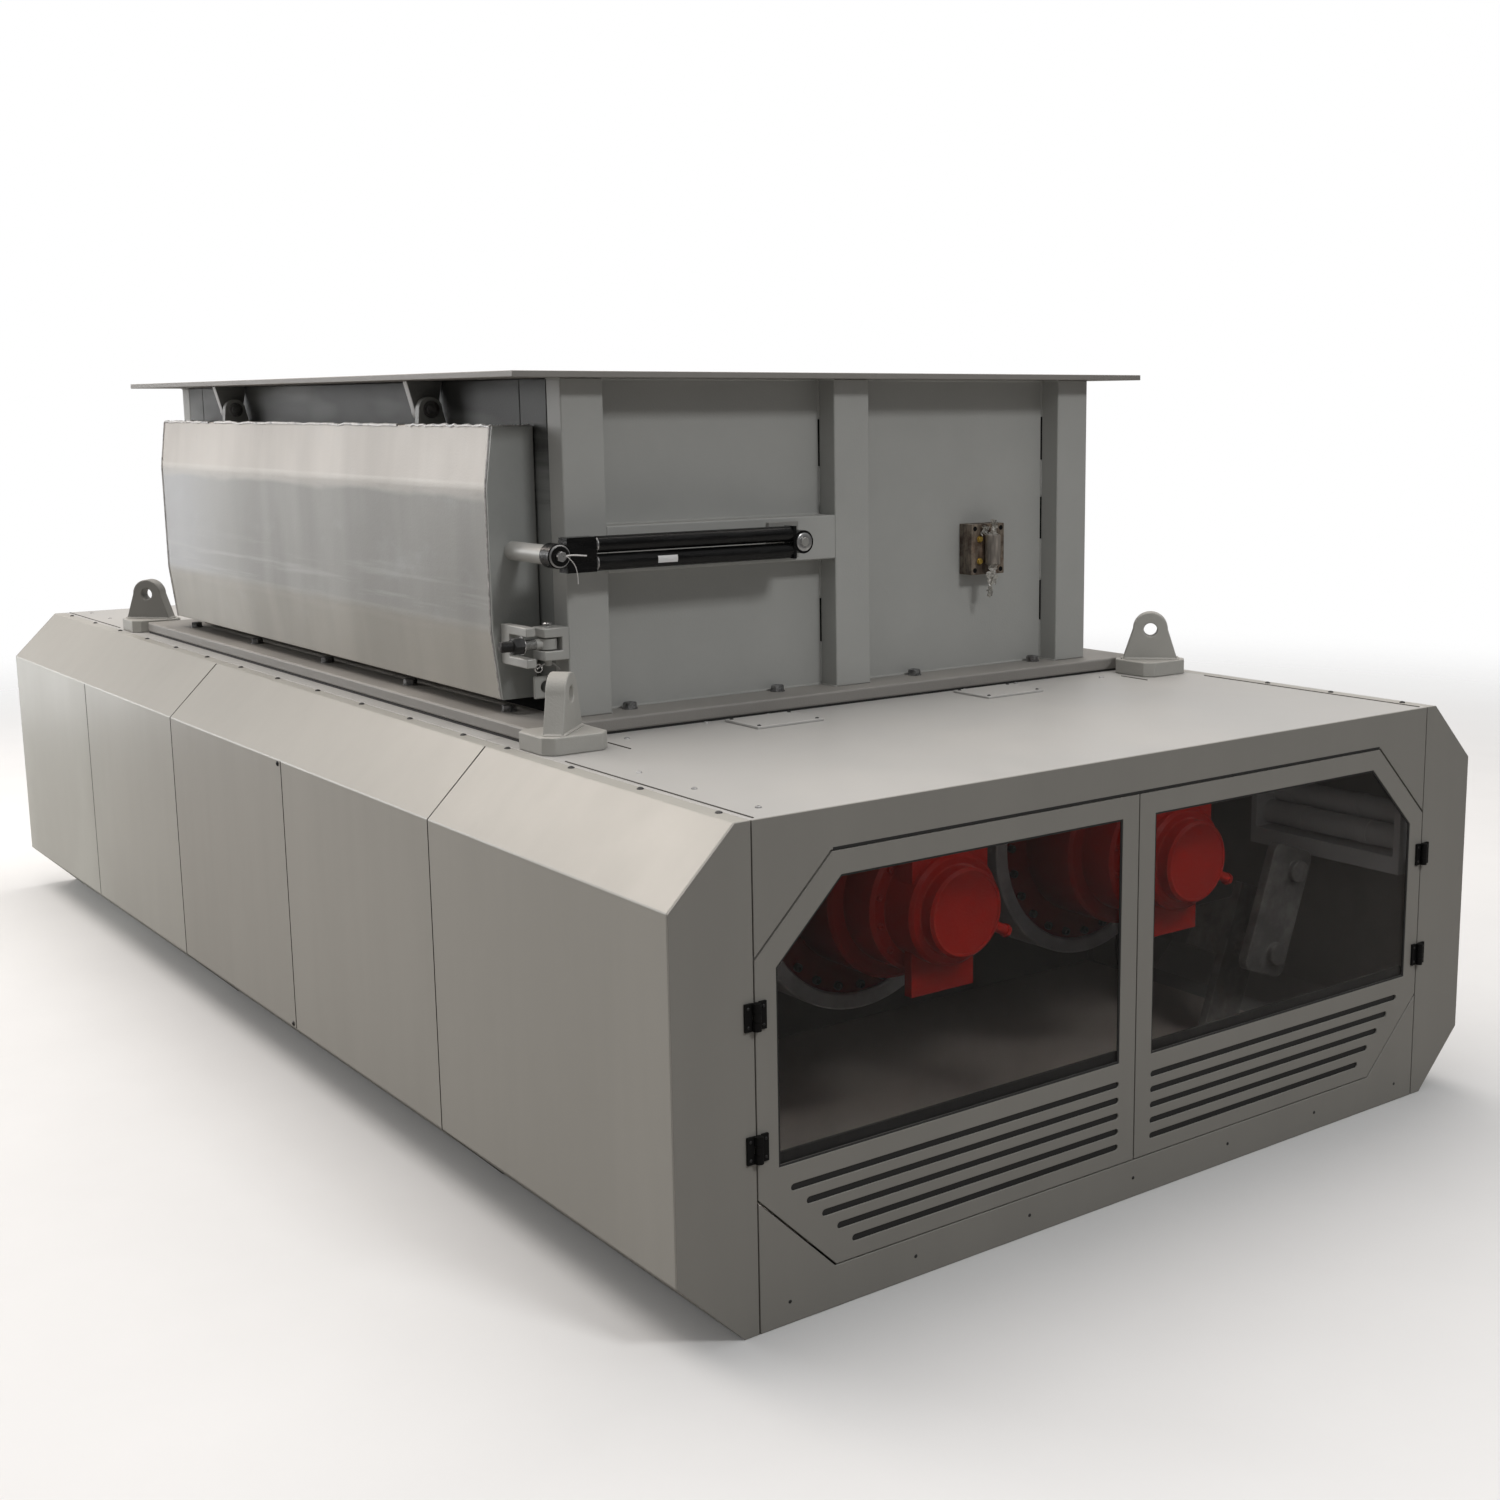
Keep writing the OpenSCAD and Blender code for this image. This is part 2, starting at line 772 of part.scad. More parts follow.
module left_leaf() {
    color("darkgray") on_side(1) leaf();
}

module right_leaf() {
    color("darkgray") leaf();
}

module left_glass() {
    color("darkslategray", 0.5) on_side(1) glass();
}

module right_glass() {
    color("darkslategray", 0.5) glass();
}

// Half of a hinge beside the axis, towards -Y, with knuckles in the given thirds
module hinge_half(thirds) {
    gap = 1;
    block([face_x, deck_half - hinge_w, 0], [face_x + hinge_t, deck_half - knuckle_r - gap, hinge_h]);
    for (k = thirds) translate([0, 0, k * knuckle_h + pin_gap]) {
        h = knuckle_h - 2 * pin_gap;
        block([face_x, deck_half - knuckle_r - gap, 0], [hinge_x, deck_half - knuckle_r / 2, h]);
        translate([hinge_x, deck_half, 0]) cylinder(r = knuckle_r, h = h);
    }
}

// Moving hinge halves of the right leaf, bored for the pin
module leaf_hinges() {
    for (z = hinge_zs) translate([0, 0, z - hinge_h / 2])
        difference() {
            hinge_half([1]);
            translate([hinge_x, deck_half, -1]) cylinder(r = hinge_pin_r + pin_gap, h = hinge_h + 2);
        }
}

module left_hinges() {
    color("black") on_side(1) leaf_hinges();
}

module right_hinges() {
    color("black") leaf_hinges();
}

// Fixed hinge halves with their pins
module hinge_bases() {
    color("black")
    for (s = [-1, 1], z = hinge_zs) on_side(-s) translate([0, 0, z - hinge_h / 2]) {
        translate([0, 2 * deck_half, 0]) mirror([0, 1, 0]) hinge_half([0, 2]);
        translate([hinge_x, deck_half, 0]) cylinder(r = hinge_pin_r, h = hinge_h);
    }
}

// ---- hopper ----

module bottom_flange() {
    color("silver") flat_ring(flange_hx, flange_hy, inner_x, inner_y, flange_z, flange_t);
}

module top_flange() {
    color("silver") flat_ring(flange_hx, flange_hy, inner_x, inner_y, rim_z, top_flange_t);
}

module end_walls() {
    color("silver")
    for (s = [-1, 1]) {
        x = hopper_x + s * (plate_x - wall_t / 2);
        block([x - wall_t / 2, -inner_y, wall_z], [x + wall_t / 2, inner_y, rim_z]);
    }
}

module end_posts() {
    color("slategray")
    for (s = [-1, 1], y = [-half_w + post_w / 2, 0, half_w - post_w / 2]) {
        x = hopper_x + s * (plate_x + post_d / 2);
        block(
            [x - post_d / 2, y - post_w / 2, wall_z],
            [x + post_d / 2, y + post_w / 2, rim_z]
        );
    }
}

// Cross rib between two end posts, which carries the gas springs
module spring_rail() {
    color("slategray")
    block(
        [hopper_x + plate_x, -half_w + post_w, spring_z - post_w / 2],
        [post_face, -post_w / 2, spring_z + post_w / 2]
    );
}

module rear_wall() {
    color("silver")
    block([hopper_x - plate_x, inner_y, wall_z], [hopper_x + plate_x, plate_y, rim_z]);
}

module rear_ribs() {
    span = 2 * plate_x - corner_post_w;
    color("slategray")
    for (i = [0 : rear_rib_count + 1]) {
        x = hopper_x - span / 2 + i * span / (rear_rib_count + 1);
        block(
            [x - corner_post_w / 2, plate_y, wall_z],
            [x + corner_post_w / 2, half_w, rim_z]
        );
    }
}

module service_posts() {
    color("silver")
    for (s = [-1, 1]) {
        x = hopper_x + s * (plate_x - corner_post_w / 2);
        block(
            [x - corner_post_w / 2, -half_w, wall_z],
            [x + corner_post_w / 2, -inner_y, rim_z]
        );
    }
}

module service_beams() {
    hx = plate_x - corner_post_w;
    color("silver") {
        block([hopper_x - hx, -half_w, wall_z], [hopper_x + hx, -inner_y, wall_z + sill_h]);
        block([hopper_x - hx, -half_w, rim_z - lintel_h], [hopper_x + hx, -inner_y, rim_z]);
    }
}

// ---- access door ----

// Section of the door in Y and Z, counter-clockwise from the lower back edge
function door_outline() = [
    [door_back - door_lean, door_bottom],
    [door_back, door_bottom + bend_low_z + 12],
    [door_back, door_top],
    [door_back - door_d, door_top],
    [door_back - door_d - door_bulge, door_bottom + bend_high_z],
    [door_back - door_d - door_bulge, door_bottom + bend_low_z],
    [door_back - door_d, door_bottom]
];

// Section of the inner sheet, which closes the back between the folds of the front sheet
function back_strip() = let (
    p = door_outline(),
    q = inset(p, door_t),
    lean = (p[1] - p[0]) / norm(p[1] - p[0])
) [
    q[0], q[0] + door_t * [lean.y, -lean.x], p[1], [p[2].x, q[2].y], q[2], q[1]
];

module door_front() {
    color("lightgray")
    along_x(hopper_x - door_l / 2 + door_end_t, door_x1 - door_end_t)
    difference() {
        polygon(door_outline());
        polygon(inset(door_outline(), door_t));
        polygon(back_strip());
    }
}

module door_back_plate() {
    color("darkgray")
    along_x(hopper_x - door_l / 2 + door_end_t, door_x1 - door_end_t)
    polygon(back_strip());
}

module door_end_plates() {
    color("gray")
    for (x = [hopper_x - door_l / 2, door_x1 - door_end_t])
        along_x(x, x + door_end_t) polygon(door_outline());
}

// Eye on the hinge axis that widens to a foot from y0 to y1 at height z1
module hinge_eye(z1, y0, y1) {
    difference() {
        union() {
            translate([axis_y, axis_z]) circle(hinge_eye_r);
            polygon([
                [axis_y - hinge_eye_r, axis_z], [y0, z1], [y1, z1],
                [axis_y + hinge_eye_r, axis_z]
            ]);
        }
        translate([axis_y, axis_z]) circle(door_pin_r + pin_gap);
    }
}

module door_arms() {
    color("gray")
    for (x = hinge_xs)
        along_x(x + arm_play / 2, x + arm_play / 2 + lug_plate_t)
        hinge_eye(door_top, axis_y - 1.1 * hinge_eye_r, door_back);
}

module door_hinge_plates() {
    color("gray")
    for (x = hinge_xs)
        along_x(x - arm_play / 2 - lug_plate_t, x - arm_play / 2)
        hinge_eye(rim_z, axis_y - 1.6 * hinge_eye_r, -half_w);
}

module door_hinge_pins() {
    side = arm_play / 2 + lug_plate_t;
    color("dimgray")
    for (x = hinge_xs) {
        bar_x(door_pin_r, x - side - pin_head_l, x + side + pin_head_l, axis_y, axis_z);
        bar_x(
            door_pin_r + pin_head_over, x - side - arm_play / 2 - pin_head_l,
            x - side - arm_play / 2, axis_y, axis_z
        );
    }
}

module door_stub() {
    color("silver")
    bar_x(stub_r, door_x1, spring_x - spring_eye_t / 2 - pin_gap, stub_y, spring_z);
}

// ---- gas springs ----

module spring_bracket() {
    x1 = spring_x + spring_eye_t / 2;
    color("gray") {
        block(
            [post_face, pivot_y - bracket_h / 2, spring_z - bracket_h / 2],
            [post_face + bracket_t, pivot_y + bracket_h / 2, spring_z + bracket_h / 2]
        );
        bar_x(stub_r, post_face, spring_x - spring_eye_t / 2 - pin_gap, pivot_y, spring_z);
        bar_x(spring_pin_r, post_face, x1 + 8, pivot_y, spring_z);
    }
}

// Two bored tubes closed by one eye block at the base pivot
module spring_tubes() {
    plug = 20;
    color("black") {
        for (s = [-1, 1]) difference() {
            bar_y(tube_r, tube_y0, tube_y1, spring_x, spring_z + s * tube_pitch / 2);
            bar_y(tube_bore_r, tube_y0 - 1, tube_y1 - plug, spring_x, spring_z + s * tube_pitch / 2);
        }
        difference() {
            union() {
                bar_x(
                    spring_eye_r, spring_x - spring_eye_t / 2, spring_x + spring_eye_t / 2,
                    pivot_y, spring_z
                );
                block(
                    [spring_x - tube_r, tube_y1, spring_z - tube_pitch / 2 - tube_r],
                    [spring_x + tube_r, pivot_y - spring_eye_r + 8,
                     spring_z + tube_pitch / 2 + tube_r]
                );
            }
            bar_x(
                spring_pin_r + pin_gap, spring_x - spring_eye_t, spring_x + spring_eye_t,
                pivot_y, spring_z
            );
        }
    }
}

// Two piston rods on one cross head with the eye for the door's stub
module spring_rods() {
    head_y = tube_y0 - 8;
    color("dimgray") {
        for (s = [-1, 1])
            bar_y(
                rod_r, head_y - 12, tube_y1 - 2 * spring_eye_t,
                spring_x, spring_z + s * tube_pitch / 2
            );
        bar_x(
            spring_eye_r, spring_x - spring_eye_t / 2, spring_x + spring_eye_t / 2,
            stub_y, spring_z
        );
        bar_x(stub_r, spring_x, spring_x + spring_eye_t / 2 + 6, stub_y, spring_z);
        block(
            [spring_x - tube_r, stub_y + spring_eye_r - 8, spring_z - tube_pitch / 2 - tube_r],
            [spring_x + tube_r, head_y, spring_z + tube_pitch / 2 + tube_r]
        );
    }
}

// ---- door latch ----

// Fork plate on the door's end, open towards the drive end
module latch_fork() {
    z0 = latch_z - slot_down;
    z1 = latch_z + slot_up;
    color("silver")
    difference() {
        block([door_x1, fork_y, z0 - ear_h], [fork_x1, fork_y + fork_t, z1 + ear_h]);
        block([door_x1 + fork_web, fork_y - 1, z0], [fork_x1 + 1, fork_y + fork_t + 1, z1]);
    }
}

// Two ears and a web on the corner post, with the upright clevis pin
module latch_clevis() {
    slot_half = bolt_r + eye_gap;
    x1 = post_face + 4;
    x0 = x1 - clevis_w;
    front = bolt_y - eye_r;
    color("silver") {
        difference() {
            block([x0, front, latch_z - clevis_half], [x1, -half_w, latch_z + clevis_half]);
            block(
                [x0 - 1, front - 1, latch_z - slot_half],
                [x1 + 1, -half_w - clevis_web, latch_z + slot_half]
            );
        }
        translate([bolt_x, bolt_y, latch_z - clevis_half - 14])
            cylinder(r = clevis_pin_r, h = 2 * clevis_half + 20);
    }
}

// Eye bolt that swings about the clevis pin
module swing_bolt() {
    color("silver")
    difference() {
        union() {
            translate([bolt_x, bolt_y, latch_z - bolt_r]) cylinder(r = eye_r, h = 2 * bolt_r);
            bar_y(bolt_r, tip_y, bolt_y, bolt_x, latch_z);
        }
        translate([bolt_x, bolt_y, latch_z - 2 * bolt_r])
            cylinder(r = clevis_pin_r + pin_gap, h = 4 * bolt_r);
    }
}

module swing_nut() {
    color("dimgray")
    difference() {
        translate([bolt_x, fork_y - 2, latch_z]) rotate([90, 0, 0])
            cylinder(d = nut_af / cos(30), h = nut_l, $fn = 6);
        bar_y(bolt_r, fork_y - 2 * nut_l, fork_y, bolt_x, latch_z);
    }
}

// Drilled plate for a padlock below the latch
module lock_plate() {
    x = post_face - post_d;
    z = latch_z - lock_down;
    color("silver")
    difference() {
        block([x, -half_w - lock_reach, z - lock_h / 2], [x + lock_t, -half_w, z + lock_h / 2]);
        bar_x(lock_hole_r, x - 1, x + lock_t + 1, -half_w - lock_reach / 2, z);
    }
}

// ---- position sensor on the end wall ----

module sensor_block() {
    color("saddlebrown")
    translate([hopper_x + plate_x, sensor_y, wall_z + sensor_up])
        translate([0, -block_w / 2, -block_h / 2])
            cube([block_d, block_w, block_h]);
}

module sensor_body() {
    color("gray")
    translate([
        hopper_x + plate_x + block_d + sensor_r, sensor_y, wall_z + sensor_up - sensor_h / 2
    ])
        cylinder(r = sensor_r, h = sensor_h);
}

// ---- cutting chamber ----

// End walls of the chamber with the bores of the rotor shafts
module bulkheads() {
    color("gray")
    for (s = [-1, 1])
        along_x(hopper_x + s * (inner_x + chamber_t / 2) - chamber_t / 2,
                hopper_x + s * (inner_x + chamber_t / 2) + chamber_t / 2)
        difference() {
            polygon([
                [-bulk_y, rail_h + floor_t], [bulk_y, rail_h + floor_t], [bulk_y, deck_z],
                [chamber_y, deck_z], [chamber_y, flange_z], [-chamber_y, flange_z],
                [-chamber_y, deck_z], [-bulk_y, deck_z]
            ]);
            for (y = [-1, 1]) translate([y * rotor_pitch / 2, rotor_z])
                circle(shaft_r + shaft_gap);
        }
}

// Section of a scraper finger between the chamber wall and the drum
module scraper_finger() {
    tip_y = -rotor_pitch / 2 - drum_r / 2;
    difference() {
        translate([0, rotor_z]) polygon([
            [-inner_y - chamber_t / 2, -finger_h - finger_flare], [-inner_y, -finger_h - finger_flare],
            [tip_y, -finger_h], [tip_y, finger_h],
            [-inner_y, finger_h + finger_flare], [-inner_y - chamber_t / 2, finger_h + finger_flare]
        ]);
        translate([-rotor_pitch / 2, rotor_z]) circle(drum_r + finger_tip_gap);
    }
}

// Chamber wall with a finger in each gap between the discs, which start at the given phase
module chamber_side(phase) {
    x0 = hopper_x - inner_x;
    block([x0, -chamber_y, rotor_z - tip_r], [x0 + 2 * inner_x, -inner_y, flange_z]);
    for (i = [0 : cutter_count - 1]) {
        x = x0 + (i + 1 - phase) * cutter_pitch;
        along_x(x - finger_t / 2, x + finger_t / 2) scraper_finger();
    }
}

module chamber_sides() {
    color("gray") {
        chamber_side(left_phase);
        on_side(1) chamber_side(right_phase);
    }
}

// Disc with hooked teeth that lean towards their cutting side
module cutter() {
    circle(disc_r);
    for (k = [0 : tooth_count - 1]) rotate(k * 360 / tooth_count)
        polygon([
            polar(0.85 * disc_r, 0), polar(0.99 * disc_r, 2), polar(tip_r, -5), polar(tip_r, 5),
            polar(0.99 * disc_r, 32), polar(0.85 * disc_r, 20)
        ]);
}

// Rotor with its first disc at the given share of the disc spacing
module rotor(phase) {
    x0 = hopper_x - inner_x;
    bar_x(shaft_r, x0 - chamber_t - bearing_l, x0 + 2 * inner_x + chamber_t, 0, 0);
    bar_x(drum_r, x0 + cutter_gap / 2, x0 + 2 * inner_x - cutter_gap / 2, 0, 0);
    for (i = [0 : cutter_count - 1]) {
        x = x0 + (i + phase) * cutter_pitch;
        along_x(x - cutter_t / 2, x + cutter_t / 2) rotate(i * cutter_twist) cutter();
    }
}

module left_rotor() {
    color("dimgray") translate([0, -rotor_pitch / 2, rotor_z]) rotor(left_phase);
}

module right_rotor() {
    color("dimgray") translate([0, rotor_pitch / 2, rotor_z]) mirror([0, 1, 0]) rotor(right_phase);
}

module far_bearings() {
    color("gray")
    for (s = [-1, 1]) difference() {
        bar_x(bearing_r, bulk_x0 - bearing_l, bulk_x0, s * rotor_pitch / 2, rotor_z);
        bar_x(
            shaft_r + shaft_gap, bulk_x0 - bearing_l - 1, bulk_x0 + 1,
            s * rotor_pitch / 2, rotor_z
        );
    }
}

// ---- drives ----

// Lengths and radii of the drive from the bulkhead outwards
function drive_steps() = [
    [gear_l, gear_r], [flange_drive_l, flange_drive_r], [ring_a_l, ring_a_r],
    [ring_b_l, ring_b_r], [motor_l, motor_r], [cap_l, cap_r]
];

// Sum of the first n step lengths
function step_end(n) = n == 0 ? 0 : step_end(n - 1) + drive_steps()[n - 1][0];

// Half section of the drive along its axis, with a bevel on each step's outer edge
function drive_profile() = concat(
    [[0, 0]],
    [for (i = [0 : len(drive_steps()) - 1], k = [0 : 2]) let (r = drive_steps()[i][1])
        k == 0 ? [r, step_end(i)] :
        k == 1 ? [r, step_end(i + 1) - drive_bevel] : [r - drive_bevel, step_end(i + 1)]],
    [[0, step_end(len(drive_steps()))]]
);

// Turned drive body with bolt pockets around its flange, the motor's plate and block, and an oil port
module drive() {
    difference() {
        translate([bulk_x1, 0, 0]) rotate([0, 90, 0]) rotate_extrude() polygon(drive_profile());
        for (k = [0 : pocket_count - 1]) {
            p = polar(flange_drive_r, (k + 0.5) * 360 / pocket_count);
            bar_x(
                pocket_r, bulk_x1 + step_end(2) - pocket_d, bulk_x1 + step_end(2) + 1, p.x, p.y
            );
        }
    }
    plate_x1 = bulk_x1 + step_end(4) + motor_l / 2;
    block([plate_x1 - foot_t, -foot_w, -ring_b_r - foot_drop], [plate_x1, foot_w, 0]);
    block([plate_x1 - foot_t, -port_block_w, 0], [plate_x1 - foot_t + port_block_l, port_block_w, port_block_h]);
    rotate([-port_turn, 0, 0])
        bar_y(port_r, cap_r / 2, cap_r + port_out, bulk_x1 + step_end(6) - cap_l / 2, 0);
}

module left_drive() {
    color("firebrick") translate([0, -rotor_pitch / 2, rotor_z]) drive();
}

module right_drive() {
    color("firebrick") translate([0, rotor_pitch / 2, rotor_z]) drive();
}

module drive_collars() {
    color("gray")
    for (s = [-1, 1]) difference() {
        bar_x(collar_r, bulk_x1, bulk_x1 + gear_l, s * rotor_pitch / 2, rotor_z);
        bar_x(
            collar_r - collar_t, bulk_x1 - 1, bulk_x1 + gear_l + 1,
            s * rotor_pitch / 2, rotor_z
        );
    }
}

// Two oil pipes on a shelf that hangs from the deck rail beside the right window
module oil_pipes() {
    y0 = bulk_y + pipe_out;
    shelf_z = rail_h + floor_t + pipe_up;
    first = [y0 + pipe_in + pipe_r, shelf_z + shelf_t + pipe_gap + pipe_r];
    second = first + polar(2 * pipe_r + pipe_gap, pipe_turn);
    edge = pipe_r + hanger_edge;
    color("gray") {
        block([pipe_x0, y0, shelf_z], [pipe_x1, second.x + edge, shelf_z + shelf_t]);
        for (p = [first, second]) bar_x(pipe_r, pipe_x0, pipe_x1, p.x, p.y);
        for (x = [pipe_x0, pipe_x1 - hanger_t]) {
            block([x, y0, shelf_z], [x + hanger_t, second.x + edge, second.y + edge]);
            block([x, y0, shelf_z], [x + hanger_t, y0 + hanger_w, deck_z - top_rail_h]);
        }
    }
}

// Outline of a flat bar between two points, with its half width
module flat_bar(from, to, half) {
    way = (to - from) / norm(to - from);
    out = half * [way.y, -way.x];
    polygon([from - out, from + out, to + out, to - out]);
}

// Link plate with two pins that takes up the drive's torque, on its post with a stiffening box
module torque_link() {
    way = (link_top - link_low) / norm(link_top - link_low);
    out = [way.y, -way.x];
    low = link_low - link_side * out - link_over * way;
    top = link_top - link_side * out + link_over * way;
    post_x = link_x - link_pin_l;
    post_top = link_low + link_post_up * way;
    foot = link_low - (link_low.y - rail_h - floor_t) / way.y * way;
    box_z = link_low.y - link_box_low;
    box_x = post_x - link_post_t - link_box_l;
    color("dimgray") {
        along_x(link_x, link_x + link_t) {
            flat_bar(low, top, link_r - link_round);
            flat_bar(low + link_round * way, top - link_round * way, link_r);
            for (p = [low + link_round * way, top - link_round * way], s = [-1, 1])
                translate(p + s * (link_r - link_round) * out) circle(link_round);
        }
        bar_x(link_pin_r, post_x, link_x + link_t + link_pin_r / 2, link_low.x, link_low.y);
        bar_x(link_pin_r, link_x - link_pin_r, link_x + link_t + link_pin_r / 2, link_top.x, link_top.y);
        intersection() {
            along_x(post_x - link_post_t, post_x)
                flat_bar(foot - link_post_r * way, post_top, link_post_r);
            block([0, 0, rail_h + floor_t], [face_x, face_x, deck_z]);
        }
        intersection() {
            along_x(box_x, post_x - link_post_t)
                flat_bar(link_low - 2 * link_box_low * way, post_top - link_box_low * way, link_post_r);
            translate([0, bulk_y, 0]) rotate([90, 0, 0]) linear_extrude(bulk_y) polygon([
                [box_x, box_z], [post_x, box_z], [post_x, post_top.y],
                [post_x - link_post_t, post_top.y - link_box_low], [box_x, box_z + link_box_h]
            ]);
        }
    }
}

base_rails();
deck_rails();
frame_posts();
cross_beams();
drive_floor();
left_covers();
right_covers();
window_end_frame();
far_end_cover();
deck_plates();
access_plates();
lifting_lugs();
left_leaf();
right_leaf();
left_glass();
right_glass();
hinge_bases();
left_hinges();
right_hinges();
bottom_flange();
top_flange();
end_walls();
end_posts();
spring_rail();
rear_wall();
rear_ribs();
service_posts();
service_beams();
door_front();
door_back_plate();
door_end_plates();
door_arms();
door_stub();
door_hinge_plates();
door_hinge_pins();
spring_bracket();
spring_tubes();
spring_rods();
latch_fork();
latch_clevis();
swing_bolt();
swing_nut();
lock_plate();
sensor_block();
sensor_body();
bulkheads();
chamber_sides();
left_rotor();
right_rotor();
far_bearings();
drive_collars();
left_drive();
right_drive();
oil_pipes();
torque_link();
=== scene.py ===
"""Looks of the twin-rotor industrial shredder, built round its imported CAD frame.
The sections follow the machine from its floor frame up to the sensor on the hopper."""
import json
import math

import bmesh
import bpy
import numpy as np
from mathutils import Matrix, Quaternion, Vector


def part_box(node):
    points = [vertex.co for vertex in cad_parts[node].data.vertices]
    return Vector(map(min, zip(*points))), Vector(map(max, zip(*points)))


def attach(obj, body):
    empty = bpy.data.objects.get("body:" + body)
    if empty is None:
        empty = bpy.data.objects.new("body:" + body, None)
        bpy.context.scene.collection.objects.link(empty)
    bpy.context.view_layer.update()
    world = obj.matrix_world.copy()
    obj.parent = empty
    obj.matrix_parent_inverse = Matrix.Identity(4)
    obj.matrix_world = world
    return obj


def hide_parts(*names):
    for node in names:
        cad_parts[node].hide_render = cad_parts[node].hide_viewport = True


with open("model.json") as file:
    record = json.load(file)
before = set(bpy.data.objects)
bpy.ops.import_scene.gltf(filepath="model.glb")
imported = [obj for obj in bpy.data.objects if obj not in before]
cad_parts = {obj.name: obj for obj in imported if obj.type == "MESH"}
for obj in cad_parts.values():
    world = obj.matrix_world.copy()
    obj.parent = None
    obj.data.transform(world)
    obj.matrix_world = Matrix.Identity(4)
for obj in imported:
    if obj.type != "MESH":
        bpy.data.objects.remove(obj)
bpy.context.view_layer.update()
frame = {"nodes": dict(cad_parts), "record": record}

# ---- Viewpoint ----
# The camera stands off the corner between the window end and the door side, at eye
# height, and looks slightly down along both sides.
EYE = Vector((5.003, -2.839, 1.740))
SIGHT = Vector((-0.775, 0.608, -0.172))
ROLL = math.radians(-0.28)


def new_object(name, data):
    """New object that holds the data, linked to the scene."""
    made = bpy.data.objects.new(name, data)
    bpy.context.scene.collection.objects.link(made)
    return made


lens = bpy.data.cameras.new("viewpoint")
lens.sensor_width = 36
lens.lens = 44.86
lens.shift_x = -0.0935
lens.shift_y = -0.0129
viewpoint = new_object("viewpoint", lens)
turn = SIGHT.to_track_quat("-Z", "Y") @ Quaternion((0, 0, 1), ROLL)
viewpoint.matrix_world = Matrix.Translation(EYE) @ turn.to_matrix().to_4x4()
bpy.context.scene.camera = viewpoint

# ---- Floor frame ----
# A ladder frame of square steel tubes with upright posts under the deck tubes. The tubes
# are welded together and primed grey, and show through the windows and from below.


def feed(value, socket):
    """Links value to the socket if it is a socket itself, or else sets it as a constant."""
    if isinstance(value, bpy.types.NodeSocket):
        socket.id_data.links.new(value, socket)
    else:
        socket.default_value = value


def step(kind, terms, tree=None, **settings):
    """Outputs of a new node; terms are its inputs by name or number, settings its properties.

    It stands in the tree given, or else in the tree of those terms that are sockets.
    """
    sockets = [term for term in terms.values() if isinstance(term, bpy.types.NodeSocket)]
    tree = tree or sockets[0].id_data
    made = tree.nodes.new("ShaderNode" + kind)
    for label, value in settings.items():
        setattr(made, label, value)
    for label, term in terms.items():
        feed(term, made.inputs[label])
    return made.outputs


def reading(tree, kind="TexCoord", label="Object"):
    """Output of a new node that takes no input; as it stands, the Object coordinate."""
    return step(kind, {}, tree)[label]


def calc(operation, *terms):
    """Output of a Math node that combines the given terms."""
    return step("Math", dict(enumerate(terms)), operation=operation)[0]


def times(first, second):
    """Product of two terms."""
    return calc("MULTIPLY", first, second)


def mix(share, low, high, mode="MIX"):
    """Colour that goes from low to high with share."""
    return step("Mix", {0: share, 6: low, 7: high}, data_type="RGBA", blend_type=mode)[2]


def ramp(value, start, end, low=0.0, high=1.0):
    """Smooth step from low to high while value goes from start to end."""
    terms = dict(enumerate((value, start, end, low, high)))
    return step("MapRange", terms, interpolation_type="SMOOTHSTEP")[0]


def noise(place, scale, detail=3.0, roughness=0.5):
    """Smooth noise between 0 and 1 with about scale waves a metre."""
    terms = {"Vector": place, "Scale": scale, "Detail": detail, "Roughness": roughness}
    return step("TexNoise", terms)[0]


def split(vector):
    """The three parts of a vector, by name."""
    return step("SeparateXYZ", {0: vector})


def open_group(name, outputs, **inputs):
    """New shader group; inputs are its sockets' defaults, and only Colour holds a colour."""
    tree = bpy.data.node_groups.new(name, "ShaderNodeTree")
    for label, value in inputs.items():
        kind = "NodeSocketColor" if isinstance(value, tuple) else "NodeSocketFloat"
        socket = tree.interface.new_socket(label, in_out="INPUT", socket_type=kind)
        socket.default_value = value
    for label in outputs:
        kind = "NodeSocketColor" if label == "Colour" else "NodeSocketFloat"
        tree.interface.new_socket(label, in_out="OUTPUT", socket_type=kind)
    source = tree.nodes.new("NodeGroupInput").outputs
    result = tree.nodes.new("NodeGroupOutput").inputs
    return tree, source, result, reading(tree)


def build_paint_film():
    """Sprayed paint: broad cloudy tone, finer mottling, and orange peel as height."""
    tree, source, result, place = open_group(
        "paint_film", ("Colour", "Roughness", "Height"),
        Colour=(0.5, 0.5, 0.5, 1), Clouds=0.06, Mottle=0.03, Gloss=0.4,
    )
    clouds = calc("SUBTRACT", noise(place, 1.1, 4), 0.5)
    mottle = calc("SUBTRACT", noise(place, 9.0, 5, 0.6), 0.5)
    tone = calc("MULTIPLY_ADD", clouds, source["Clouds"], 1.0)
    tone = calc("MULTIPLY_ADD", mottle, source["Mottle"], tone)
    even = step("CombineColor", {0: tone, 1: tone, 2: tone})[0]
    feed(mix(1.0, source["Colour"], even, "MULTIPLY"), result["Colour"])
    feed(calc("MULTIPLY_ADD", mottle, 0.07, source["Gloss"]), result["Roughness"])
    feed(noise(place, 190.0, 2), result["Height"])
    return tree


